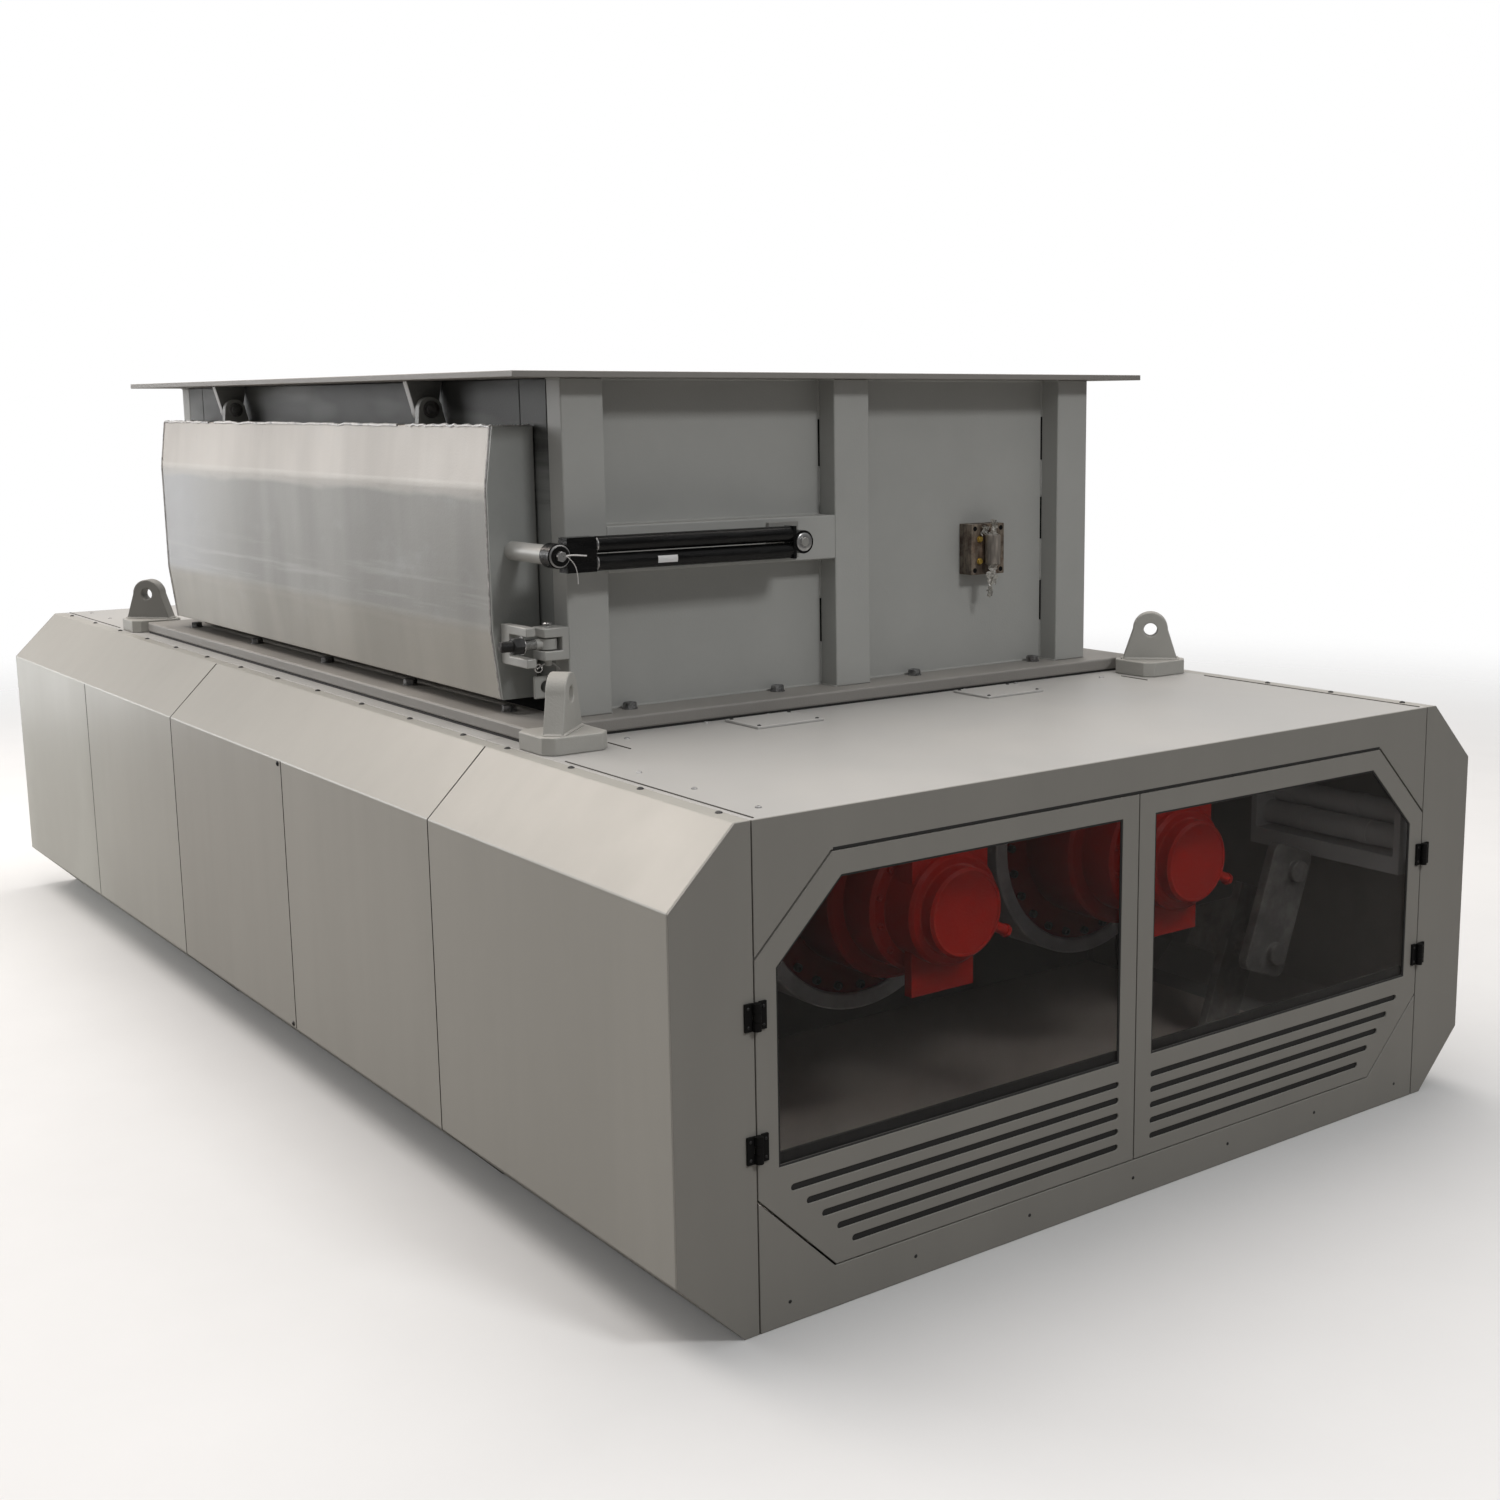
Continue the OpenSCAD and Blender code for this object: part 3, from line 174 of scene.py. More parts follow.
def build_settled_dust():
    """Fine dust that lies on faces that look upwards, thicker in some patches."""
    tree, source, result, place = open_group(
        "settled_dust", ("Colour", "Roughness"),
        Colour=(0.5, 0.5, 0.5, 1), Roughness=0.4, Dust=(0.5, 0.47, 0.43, 1), Amount=0.4,
    )
    flat = ramp(split(reading(tree, "NewGeometry", "Normal"))["Z"], 0.35, 0.95)
    patches = ramp(noise(place, 2.3, 6, 0.62), 0.32, 0.72, 0.25, 1.0)
    share = times(times(flat, patches), source["Amount"])
    feed(mix(share, source["Colour"], source["Dust"]), result["Colour"])
    feed(calc("MULTIPLY_ADD", share, 0.35, source["Roughness"]), result["Roughness"])
    return tree


paint_film = build_paint_film()
settled_dust = build_settled_dust()


def grey(level, warmth=0.0):
    """Grey with its red raised and its blue lowered by the share warmth."""
    return (level * (1 + warmth), level, level * (1 - warmth), 1)


def new_material(name, **constants):
    """New material with its tree and Principled shader; constants go on the shader's sockets."""
    made = bpy.data.materials.new(name)
    made.use_nodes = True
    shader = made.node_tree.nodes["Principled BSDF"]
    for label, value in constants.items():
        shader.inputs[label.replace("_", " ")].default_value = value
    return made, made.node_tree, shader


def use_group(tree, group, **terms):
    """Places a group in a material with its own values and returns its outputs."""
    return step("Group", terms, tree, node_tree=group)


def finish(shader, colour, roughness, height=None, depth=0.0, dust=None):
    """Feeds a shader its colour and roughness, under dust where that is given.

    A height between 0 and 1 goes to its normal as a bump, depth metres high.
    """
    if dust is not None:
        veil = use_group(shader.id_data, settled_dust, Colour=colour, Roughness=roughness, Amount=dust)
        colour, roughness = veil["Colour"], veil["Roughness"]
    feed(colour, shader.inputs["Base Color"])
    feed(roughness, shader.inputs["Roughness"])
    if height is not None:
        bump = step("Bump", {"Strength": 1.0, "Distance": depth, "Height": height})
        feed(bump[0], shader.inputs["Normal"])


def sprayed(name, colour, gloss, clouds, mottle, **rest):
    """New material with its tree, its shader and a paint film of that colour in the tree."""
    made, tree, shader = new_material(name, **rest)
    film = use_group(tree, paint_film, Colour=colour, Clouds=clouds, Mottle=mottle, Gloss=gloss)
    return made, tree, shader, film


def painted(name, colour, gloss=0.42, clouds=0.08, mottle=0.05, dust=0.3, peel=0.0002, **rest):
    """Sprayed paint of one colour with a little dust on what faces upwards."""
    made, _, shader, film = sprayed(name, colour, gloss, clouds, mottle, **rest)
    finish(shader, film["Colour"], film["Roughness"], film["Height"], peel, dust)
    return made


def corners(node):
    """Lowest and highest corner of a CAD node, as arrays."""
    low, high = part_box(node)
    return np.array(low), np.array(high)


def surface(name, points, sharp=35):
    """Mesh of a grid of points, or of many copies of one.

    The array's last three axes are row, column and xyz. Neighbouring points are joined by
    quads, and the last column to the first. Points that meet, as on a seam or at a pole,
    are merged, faces are turned outwards, and edges over sharp stay crisp.
    """
    rows, columns = points.shape[-3:-1]
    points = points.reshape(-1, rows * columns, 3)
    row, column = np.mgrid[0 : rows - 1, 0:columns]
    beside = (column + 1) % columns
    around = (row, column), (row, beside), (row + 1, beside), (row + 1, column)
    quads = np.stack([r * columns + c for r, c in around], axis=-1).reshape(-1, 4)
    faces = quads + np.arange(len(points))[:, None, None] * rows * columns
    mesh = bpy.data.meshes.new(name)
    mesh.from_pydata(points.reshape(-1, 3).tolist(), [], faces.reshape(-1, 4).tolist())
    shell = bmesh.new()
    shell.from_mesh(mesh)
    bmesh.ops.remove_doubles(shell, verts=shell.verts, dist=1e-6)
    bmesh.ops.dissolve_degenerate(shell, edges=shell.edges, dist=1e-7)
    bmesh.ops.recalc_face_normals(shell, faces=shell.faces)
    for line in shell.edges:
        line.smooth = line.calc_face_angle(0.0) < math.radians(sharp)
    for face in shell.faces:
        face.smooth = True
    shell.to_mesh(mesh)
    shell.free()
    return mesh


def add_piece(name, material, node, *parts):
    """Makes one piece of its parts, each of them a mesh or a grid of points for surface.

    The piece rides as the CAD node does and wears the given material.
    """
    meshes = [p if isinstance(p, bpy.types.Mesh) else surface(name, p) for p in parts]
    mesh = meshes[0]
    if len(meshes) > 1:
        whole = bmesh.new()
        for part in meshes:
            whole.from_mesh(part)
            bpy.data.meshes.remove(part)
        mesh = bpy.data.meshes.new(name)
        whole.to_mesh(mesh)
        whole.free()
    mesh.materials.clear()
    mesh.materials.append(material)
    piece = new_object(name, mesh)
    bodies = frame["record"]["behaviour"]["bodies"].items()
    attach(piece, next(body for body, nodes in bodies if node in nodes))
    return piece


def dress(nodes, material, edge=0.0012, fold=0.0, segments=2):
    """Stands a copy of each CAD node in its place, with its sharp edges rounded.

    The copy's triangles are merged into flat faces. An edge where the faces turn by more
    than 30 degrees is rounded by edge. In a bent sheet, fold rounds its bends as well.
    """
    widest = max(edge, fold)
    for node in nodes.split():
        mesh = frame["nodes"][node].data.copy()
        solid = bmesh.new()
        solid.from_mesh(mesh)
        bmesh.ops.remove_doubles(solid, verts=solid.verts, dist=2e-5)
        nearly_flat = math.radians(0.6)
        bmesh.ops.dissolve_limit(solid, angle_limit=nearly_flat, verts=solid.verts, edges=solid.edges)
        weight = solid.edges.layers.float.new("bevel_weight_edge")
        for line in solid.edges:
            bend = math.degrees(line.calc_face_angle(0.0))
            line.smooth = bend < 30
            if fold and 3 < bend < 50:
                line[weight] = fold / widest
            elif bend > 30:
                line[weight] = edge / widest
        for face in solid.faces:
            face.smooth = True
        solid.to_mesh(mesh)
        solid.free()
        if "custom_normal" in mesh.attributes:
            mesh.attributes.remove(mesh.attributes["custom_normal"])
        skin = add_piece(node + "_skin", material, node, mesh)
        rounding = skin.modifiers.new("rounded_edges", "BEVEL")
        rounding.limit_method = "WEIGHT"
        rounding.width = widest
        rounding.segments = segments
        rounding.use_clamp_overlap = False
        levelling = skin.modifiers.new("level_faces", "WEIGHTED_NORMAL")
        levelling.keep_sharp = True
        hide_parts(node)


def unit(rows):
    """Rows of an array scaled to length one."""
    return rows / np.linalg.norm(rows, axis=-1, keepdims=True)


def swept(path, radius, side, columns=6):
    """Closed tube: a ring of the radius there stands across the path at each of its points.

    side is a direction that the path never takes, and each end is closed to its point.
    """
    along = unit(np.gradient(path, axis=0))
    first = unit(np.cross(along, side))
    second = np.cross(along, first)
    angle = np.linspace(0, 2 * np.pi, columns, endpoint=False)[:, None]
    ring = np.cos(angle) * first[:, None] + np.sin(angle) * second[:, None]
    ends = np.r_[0, 0 : len(path), len(path) - 1]
    reach = np.r_[0, np.broadcast_to(radius, len(path)), 0]
    return path[ends][:, None] + ring[ends] * reach[:, None, None]


def weld_bead(start, end, radius=0.005):
    """Straight weld bead: a tube that swells at each ripple of the weld and tapers at its ends."""
    start, end = np.array(start, float), np.array(end, float)
    length = np.linalg.norm(end - start)
    share = np.linspace(0, 1, max(8, int(length / radius * 1.6)))[:, None]
    run = share[:, 0] * length
    ripple = 1 - 0.22 * np.abs(np.sin(np.pi * run / (1.9 * radius)))
    taper = np.sqrt(np.clip(np.minimum(run, length - run) / radius, 0.03, 1))
    return swept(start + share * (end - start), radius * ripple * taper, (0.31, 0.53, 0.79))


frame_paint = painted("frame_paint", grey(0.16), 0.5, 0.2, 0.12, 0.5)
dress("base_rails deck_rails frame_posts cross_beams bulkheads", frame_paint, edge=0.003)
tray_paint = painted("tray_paint", (0.44, 0.382, 0.338, 1), 0.5, 0.35, 0.15, 0.5)
dress("drive_floor", tray_paint)

post_low, post_high = corners("frame_posts")
rail_top = corners("base_rails")[1][2]
# A bead crosses the rail's top along each free face of the posts
POST, BEAD_Y = 0.1, (0.891, 0.999)
floor_beads = [
    weld_bead(*((x, side * y, rail_top) for y in BEAD_Y), 0.006)
    for x in (post_low[0] + POST, post_high[0] - POST, post_high[0])
    for side in (-1, 1)
]
add_piece("floor_frame_beads", frame_paint, "base_rails", *floor_beads)

# ---- Cutting chamber and rotors ----
# Two forged rotors with hooked discs turn between steel walls with scraper fingers. The
# steel is bare and dark with scale, and rubbed bright on its edges by the first runs.


def stretched(place, factors):
    """The coordinate place with each axis multiplied by its factor."""
    return step("Mapping", {"Vector": place, "Scale": factors})[0]


def build_worn_edges():
    """Mask of rubbed edges: where a face's normal and the one rounded over Width part."""
    tree, source, result, place = open_group(
        "worn_edges", ("Mask",), Width=0.003, Breaks=25.0, Amount=0.6
    )
    rounded = step("Bevel", {"Radius": source["Width"]}, samples=4)[0]
    normal = reading(tree, "NewGeometry", "Normal")
    alike = step("VectorMath", {0: rounded, 1: normal}, operation="DOT_PRODUCT")["Value"]
    edge = ramp(calc("SUBTRACT", 1.0, alike), 0.01, 0.14)
    breaks = ramp(noise(place, source["Breaks"], 5, 0.65), 0.36, 0.58)
    feed(times(times(edge, breaks), source["Amount"]), result["Mask"])
    return tree


def build_steel_scale():
    """Bare steel: clouds of darker scale over lighter metal, with rust in some of them."""
    tree, source, result, place = open_group(
        "steel_scale", ("Colour", "Roughness", "Height"),
        Metal=(0.3, 0.3, 0.3, 1), Scale=(0.1, 0.1, 0.1, 1), Rust=0.2, Size=5.0,
    )
    cover = noise(place, source["Size"], 7, 0.66)
    colour = mix(ramp(cover, 0.36, 0.62), source["Metal"], source["Scale"])
    blooms = ramp(noise(stretched(place, (1.7, 1.9, 1.3)), 6.0, 8, 0.7), 0.5, 0.7)
    rusty = times(blooms, source["Rust"])
    feed(mix(rusty, colour, (0.16, 0.062, 0.022, 1)), result["Colour"])
    feed(ramp(cover, 0.3, 0.7, 0.34, 0.62), result["Roughness"])
    feed(noise(place, 70.0, 5, 0.6), result["Height"])
    return tree


worn_edges = build_worn_edges()
steel_scale = build_steel_scale()


def bare_steel(name, metal, scale, rust=0.15, size=5.0, metallic=0.75, wear=0.0):
    """Bare steel under patchy scale, with bright worn edges where wear is given."""
    made, tree, shader = new_material(name, Metallic=metallic)
    skin = use_group(tree, steel_scale, Metal=metal, Scale=scale, Rust=rust, Size=size)
    colour = skin["Colour"]
    if wear:
        rubbed = use_group(tree, worn_edges, Amount=wear)["Mask"]
        colour = mix(rubbed, colour, (0.62, 0.6, 0.57, 1))
    finish(shader, colour, skin["Roughness"], skin["Height"], 0.0004)
    return made


def coat(nodes, material):
    """Gives each CAD node whose shape is right its finish."""
    for node in nodes.split():
        slot = frame["nodes"][node].material_slots[0]
        slot.link = "OBJECT"
        slot.material = material


wall_steel = bare_steel("wall_steel", grey(0.3, 0.03), grey(0.16, 0.05), 0.3)
dress("chamber_sides", wall_steel, edge=0.002)
cutter_steel = bare_steel("cutter_steel", grey(0.42, 0.02), grey(0.17, 0.04), 0.2, 7.0, 0.85, 0.9)
coat("left_rotor right_rotor", cutter_steel)
bearing_steel = bare_steel("bearing_steel", grey(0.24), grey(0.12), 0.1, wear=0.5)
coat("far_bearings", bearing_steel)


def turned(profile, columns=24):
    """Grid turned about Z: each (radius, height) of the profile is a row, each angle a column."""
    radius, height = np.array(profile, float).T
    angle = np.linspace(0, 2 * np.pi, columns, endpoint=False)
    across = np.outer(radius, np.cos(angle)), np.outer(radius, np.sin(angle))
    return np.stack([*across, np.outer(height, np.ones(columns))], axis=-1)


def hex_head(flats, height, washer=0.0, washer_t=0.0, columns=24):
    """Grid of a hexagon head on its washer.

    A side's reach is half of flats divided by the cosine of the angle from its middle, and
    the top's cone cuts each corner lower by the same share by which it reaches further.
    """
    angle = np.linspace(0, 2 * np.pi, columns, endpoint=False)
    reach = flats / 2 / np.cos((angle + np.pi / 6) % (np.pi / 3) - np.pi / 6)
    top = washer_t + height
    shoulder = top - 0.03 * flats - 0.6 * (reach - flats / 2)
    rows = [(0, 0), (washer, 0), (washer, washer_t)] if washer else [(0, 0)]
    rows += [(reach, washer_t), (reach, shoulder), (0.47 * flats, top), (0, top)]
    radius, level = (np.array([part + 0 * angle for part in parts]) for parts in zip(*rows))
    return np.stack([radius * np.cos(angle), radius * np.sin(angle), level], axis=-1)


def stand(shape, places, axis=(1, 0, 0), spin=0.0):
    """Copies of a grid, each with its Z turned to axis, spun about it and moved to its place."""
    places = np.atleast_2d(np.array(places, float))
    up = unit(np.array(axis, float))
    side = unit(np.cross(up, (0.0, 0.0, 1.0) if abs(up[2]) < 0.9 else (1.0, 0.0, 0.0)))
    angle = np.broadcast_to(spin, len(places))[:, None]
    first = np.cos(angle) * side + np.sin(angle) * np.cross(up, side)
    turn = np.stack([first, np.cross(up, first), np.broadcast_to(up, first.shape)], axis=1)
    return np.einsum("rci,nij->nrcj", shape, turn) + places[:, None, None]


def circle(count, radius, start=0.0):
    """Points at equal angles on a circle in the YZ plane, the first at the share start."""
    angle = (np.arange(count) + start) * 2 * np.pi / count
    return np.stack([0 * angle, radius * np.cos(angle), radius * np.sin(angle)], axis=-1)


bearing_low, bearing_high = corners("far_bearings")
bearing_r = (bearing_high[2] - bearing_low[2]) / 2
rotor_z = (bearing_high[2] + bearing_low[2]) / 2
rotor_y = bearing_high[1] - bearing_r
ring = circle(10, 0.82 * bearing_r, 0.5)
bolts = [(bearing_low[0], side * rotor_y, rotor_z) + ring for side in (-1, 1)]
add_piece("far_bearing_bolts", bearing_steel, "far_bearings",
          stand(hex_head(0.03, 0.0125, 0.018, 0.003), np.concatenate(bolts), (-1, 0, 0)))

# ---- Drives ----
# Two hydraulic motors on stepped planetary gears, cast and turned, painted signal red.
# Socket screws stand in the pockets round each flange and before the second ring.
RED = (0.52, 0.014, 0.008, 1)

red_paint, tree, shader = new_material(
    "red_paint", Specular_IOR_Level=0.16, Coat_Weight=0.08, Coat_Roughness=0.08,
)
# Painted shade darkens the paint towards the gear flanges, deep in the bay
unshaded = ramp(split(reading(tree))["X"], 1.70, 2.05)
shade = mix(unshaded, (0.16, 0.009, 0.006, 1), RED)
film = use_group(tree, paint_film, Colour=shade, Clouds=0.25, Mottle=0.3, Gloss=0.34)
chipped = use_group(tree, worn_edges, Width=0.004, Breaks=40.0, Amount=0.45)["Mask"]
colour = mix(times(chipped, unshaded), film["Colour"], (0.75, 0.10, 0.06, 1))
finish(shader, colour, film["Roughness"], film["Height"], 0.0005)
coat("left_drive right_drive", red_paint)
screw_black = bare_steel("screw_black", grey(0.05), grey(0.025), 0.05, 30.0, 0.4)


def socket_screw(radius, height):
    """Grid of a cylinder head with a bevelled rim and a socket half its height deep."""
    return turned([
        (0, 0), (radius, 0), (radius, 0.85 * height), (0.88 * radius, height),
        (0.55 * radius, height), (0.5 * radius, 0.5 * height), (0, 0.5 * height),
    ], 18)


# The gear's flange and the motor's end this far behind the cap's front face
FLANGE_BACK, RING_BACK, RING_R = 0.380, 0.126, 0.141
POCKET_DEPTH, POCKET_INSET = 0.034, 0.005
# The port plug looks to the side and down from the cap
PLUG_BACK, PLUG_R = 0.018, 0.135
PORT_DIP = math.radians(27)
port_way = np.array([0, math.cos(PORT_DIP), -math.sin(PORT_DIP)])
rim = turned([
    (0.087, -0.001), (0.087, 0.0014), (0.092, 0.0020), (0.0985, -0.004), (0.0985, -0.034),
    (0.101, -0.0355), (0.087, -0.0355), (0.087, -0.001),
], 64)
for node in ("left_drive", "right_drive"):
    low, high = corners(node)
    cap = np.array([high[0], (low[1] + high[1]) / 2, (low[2] + high[2]) / 2])
    flange_r = (high[2] - low[2]) / 2
    pockets = cap - (FLANGE_BACK + POCKET_DEPTH, 0, 0) + circle(20, flange_r - POCKET_INSET, 0.5)
    add_piece(node + "_screws", screw_black, node, stand(socket_screw(0.012, 0.028), pockets))
    # Painted with the drive: screws round the motor's flange, the cap's rim and its port plug
    ring_bolts = cap - (RING_BACK, 0, 0) + circle(14, RING_R, 0.5)
    plug = cap - (PLUG_BACK, 0, 0) + port_way * PLUG_R
    add_piece(node + "_trim", red_paint, node,
              stand(socket_screw(0.007, 0.008), ring_bolts), stand(rim, cap),
              stand(hex_head(0.026, 0.008, 0.0145, 0.003), plug, port_way))

collar_steel = bare_steel("collar_steel", grey(0.55), grey(0.36), 0.05, 3.0, 0.4)
coat("drive_collars", collar_steel)
# Clamping rings round the red flanges, with black screws in front of them
clamp = turned([
    (0.264, 0.0005), (0.264, 0.008), (0.268, 0.012), (0.297, 0.012), (0.301, 0.008),
    (0.301, -0.0795), (0.283, -0.0795), (0.283, 0.0005), (0.264, 0.0005),
], 72)
for node in ("left_drive", "right_drive"):
    low, high = corners(node)
    middle = np.array([high[0] - FLANGE_BACK, (low[1] + high[1]) / 2, (low[2] + high[2]) / 2])
    add_piece(node + "_clamp", collar_steel, "drive_collars", stand(clamp, middle))
    add_piece(node + "_clamp_screws", screw_black, node,
              stand(socket_screw(0.0095, 0.012), middle + circle(24, 0.247)))

# ---- Oil pipes and torque link ----
# Two painted oil pipes lie on a shelf that hangs beside the right window, held by steel
# bands, and a pinned link plate in front of its post takes up the drives' torque.
pipe_paint = painted("pipe_paint", grey(0.68), 0.2, 0.15, 0.1, 0.2)
dress("oil_pipes", pipe_paint, edge=0.002)
link_steel = bare_steel("link_steel", grey(0.27, 0.03), grey(0.15, 0.03), 0.2, 6.0, 0.4, 0.5)
dress("torque_link", link_steel, edge=0.002)


def hoop(inner, outer, low, high, chamfer=(0.0, 0.0), columns=28):
    """Grid of a flat ring about Z; chamfer cuts its outer top edge by a width and a height."""
    rim = [(outer, high - chamfer[1]), (outer - chamfer[0], high)] if chamfer[0] else [(outer, high)]
    return turned([(inner, low), (outer, low), *rim, (inner, high), (inner, low)], columns)


first_pipe = corners("oil_pipes")[0] + (0, 0.057, 0.081)
second_pipe = first_pipe + (0, 0.0428, 0.0528)
band_places = [first_pipe + (x, 0, 0) for x in (0.12, 0.33)]
band_places += [second_pipe + (x, 0, 0) for x in (0.06, 0.27)]
add_piece("oil_pipe_bands", pipe_paint, "oil_pipes",
          stand(hoop(0.0315, 0.0338, 0, 0.028, columns=32), band_places))

link_low, link_high = corners("torque_link")
pin_faces = [
    (link_high[0], link_high[1] - 0.1354, link_low[2] + 0.240),
    (link_high[0], link_high[1] - 0.0624, link_high[2] - 0.0797),
]
pin_head = turned([(0, -0.002), (0.0285, -0.002), (0.0285, 0.001), (0.026, 0.003), (0, 0.003)], 32)
add_piece("link_pin_heads", link_steel, "torque_link", stand(pin_head, pin_faces))

# ---- Side covers ----
# Bent steel sheets that close the long sides, powder coated in a warm light grey. Button
# screws hold their lips down along the deck, and one stands under the bend at each seam.


def build_long_streaks():
    """Mask of soft streaks that run along Z, in broad bands with finer ones inside them."""
    tree, source, result, place = open_group(
        "long_streaks", ("Mask",), Broad=2.4, Fine=15.0, Length=0.12
    )
    x, y, z = split(place)
    drawn = step("CombineXYZ", {"X": x, "Y": y, "Z": times(z, source["Length"])})[0]
    broad, fine = noise(drawn, source["Broad"], 2), noise(drawn, source["Fine"], 3)
    feed(calc("MULTIPLY_ADD", fine, 0.35, times(broad, 0.65)), result["Mask"])
    return tree


long_streaks = build_long_streaks()


def streaked(colour, spread, low, high, **sizes):
    """The colour with soft streaks along Z, and the streaks' mask.

    Its tone goes from low to high while the mask goes from half less spread to half more.
    """
    drawn = use_group(colour.id_data, long_streaks, **sizes)["Mask"]
    light = mix(ramp(drawn, 0.5 - spread, 0.5 + spread), grey(low), grey(high))
    return mix(1.0, colour, light, "MULTIPLY"), drawn


def sheet_paint(name, colour, gloss, streaks=0.12, dust=0.3):
    """Powder coat on rolled sheet: soft streaks along Z change its tone and its gloss.

    The upright faces of the farthest sheets are lightened towards the far end in pale silvery clouds,
    a painted sheen.
    """
    made, tree, shader, film = sprayed(name, colour, gloss, 0.04, 0.012)
    tone, drawn = streaked(film["Colour"], 0.2, 1 - streaks, 1 + streaks)
    place = reading(tree)
    x, y, z = split(place)
    clouds = ramp(noise(stretched(place, (1.0, 1.0, 0.6)), 1.6, 4), 0.3, 0.65)
    # Painted sheen on the far sheets' upright faces
    far_sheen = times(ramp(x, -0.9, -1.7, 0.30, 1.0), ramp(clouds, 0.0, 1.0, 0.6, 1.0))
    upright = times(ramp(x, -0.4978, -0.4982), ramp(z, 0.857, 0.853))
    tone = mix(times(far_sheen, upright), tone, (0.62, 0.63, 0.58, 1))
    sheen = calc("MULTIPLY_ADD", drawn, -0.16, calc("ADD", film["Roughness"], 0.08))
    finish(shader, tone, sheen, dust=dust)
    return made


cover_paint = sheet_paint("cover_paint", (0.413, 0.402, 0.368, 1), 0.33, 0.035, 0.12)
# Near black for painted shade in seams and grooves
seam_shade = painted("seam_shade", (0.05, 0.045, 0.038, 1), 0.8, 0.2, 0.2, 0.0)


def button_screw(radius):
    """Grid of a domed screw head with a hexagon socket's round mouth."""
    dome = [(radius * np.cos(t), 0.55 * radius * np.sin(t)) for t in np.linspace(0.2, 1.05, 4)]
    socket = [(0.42 * radius, 0.5 * radius), (0.38 * radius, 0.2 * radius), (0, 0.2 * radius)]
    return turned([(0, -0.001), (radius, -0.001), *dome, *socket], 16)


# Distances of the first lip screws behind each cover's near end; the rest stand at one pitch
NEAR_SCREWS = {-1: (0.085, 0.366, 0.645), 1: (0.077, 0.3, 0.511)}
BY_SEAM, LIP_START, LIP_PITCH, LIP_END, LIP_INSET = 1.311, 1.092, 0.2915, 0.05, 0.012
SEAM_SCREW_X, SEAM_SCREWS_Z, COVER_Y = 0.359, (0.846, 0.155), 1.18
# Courses of the dark cord, painted shade in the grooves and seams, as (distance from the
# middle, height): in the grooves it stays on the upright faces, and in the open seams it goes round
# the bends
GROOVE = [(1.1796, 0.853), (1.1796, 0.147)]
SEAM = [(1.036, 0.9995), (1.1796, 0.855), (1.1796, 0.145), (1.036, 0.0005)]
_, (_, deck_edge, deck_top) = corners("deck_plates")
for node, side in (("left_covers", -1), ("right_covers", 1)):
    dress(node, cover_paint, fold=0.0025)
    low, high = corners(node)
    near_x = high[0] - np.array(NEAR_SCREWS[side])
    lip_x = np.r_[near_x, BY_SEAM, np.arange(LIP_START, low[0] + LIP_END, -LIP_PITCH)]
    lip_screws = [(x, side * (deck_edge + LIP_INSET), deck_top) for x in lip_x]
    seam_screws = [(SEAM_SCREW_X, side * COVER_Y, z) for z in SEAM_SCREWS_Z]
    add_piece(node + "_screws", screw_black, node,
              stand(button_screw(0.0075), lip_screws, (0, 0, 1)),
              stand(button_screw(0.007), seam_screws, (0, side, 0)))
    courses = (-1.372, GROOVE), (0.378, GROOVE), (-0.498, SEAM), (1.254, SEAM)
    lines = [np.array([(x, side * y, z) for y, z in course]) for x, course in courses]
    add_piece(node + "_cords", seam_shade, node, *(swept(line, 0.0013, (1, 0, 0)) for line in lines))

# ---- End panels ----
# The window end's frame and the plain far end, cut from flat sheet and powder coated.
# Small countersunk rivets hold the lower strip to the floor frame.
end_paint = sheet_paint("end_paint", (0.277, 0.268, 0.246, 1), 0.42, 0.03)
rivet = turned([(0, 0), (0.004, 0), (0.003, 0.0012), (0, 0.0017)], 12)
RIVETS_Y, RIVETS_Z = np.linspace(-0.93, 0.93, 7), 0.045
for node, way in (("window_end_frame", 1), ("far_end_cover", -1)):
    dress(node, end_paint, edge=0.001)
    low, high = corners(node)
    face = high[0] if way > 0 else low[0]
    places = [(face, y, RIVETS_Z) for y in RIVETS_Y]
    add_piece(node + "_rivets", screw_black, node, stand(rivet, places, (way, 0, 0)))

# ---- Window leaves ----
# Two folded sheet doors with louvre slots. Smoked acrylic panes lie behind their openings
# on a black rubber strip, and black plastic hinges carry them.
dress("left_leaf right_leaf", end_paint, edge=0.001)

pane, tree, shader = new_material("smoked_pane", Roughness=0.0, IOR=1.22, Transmission_Weight=1.0)
lit = step("BsdfTransparent", {"Color": (0.6, 0.6, 0.59, 1)}, tree)[0]
shadow = reading(tree, "LightPath", "Is Shadow Ray")
through = step("MixShader", {0: shadow, 1: shader.outputs[0], 2: lit})[0]
feed(through, tree.nodes["Material Output"].inputs["Surface"])
smudges = ramp(noise(reading(tree), 5.0, 6, 0.7), 0.35, 0.75)
feed(mix(smudges, grey(0.68), grey(0.62)), shader.inputs["Base Color"])
rubber = painted("rubber", grey(0.02), 0.6, 0.1, 0.2, 0.2)


def inset(outline, distance):
    """Corners of a closed anticlockwise outline, each moved inwards along its half angle."""
    ahead = unit(np.roll(outline, -1, axis=0) - outline)
    normal = np.stack([-ahead[:, 1], ahead[:, 0]], axis=-1)
    both = normal + np.roll(normal, 1, axis=0)
    share = distance * 2 / np.sum(both * both, axis=-1, keepdims=True)
    return outline + both * share


def bar(start, end, low, high):
    """Grid of a straight bar; low and high are its section's corners, from the line it follows."""
    section = np.array([low, (*low[:2], high[2]), high, (*high[:2], low[2]), low])
    rows = np.array([start, start, end, end], float)[:, None] + section
    rows[[0, 3]] = rows[[0, 3]].mean(axis=1, keepdims=True)
    return rows


# The opening lies this far inside the pane, and its outer top corner is cut off by so much
LAP, CUT = 0.012, 0.153
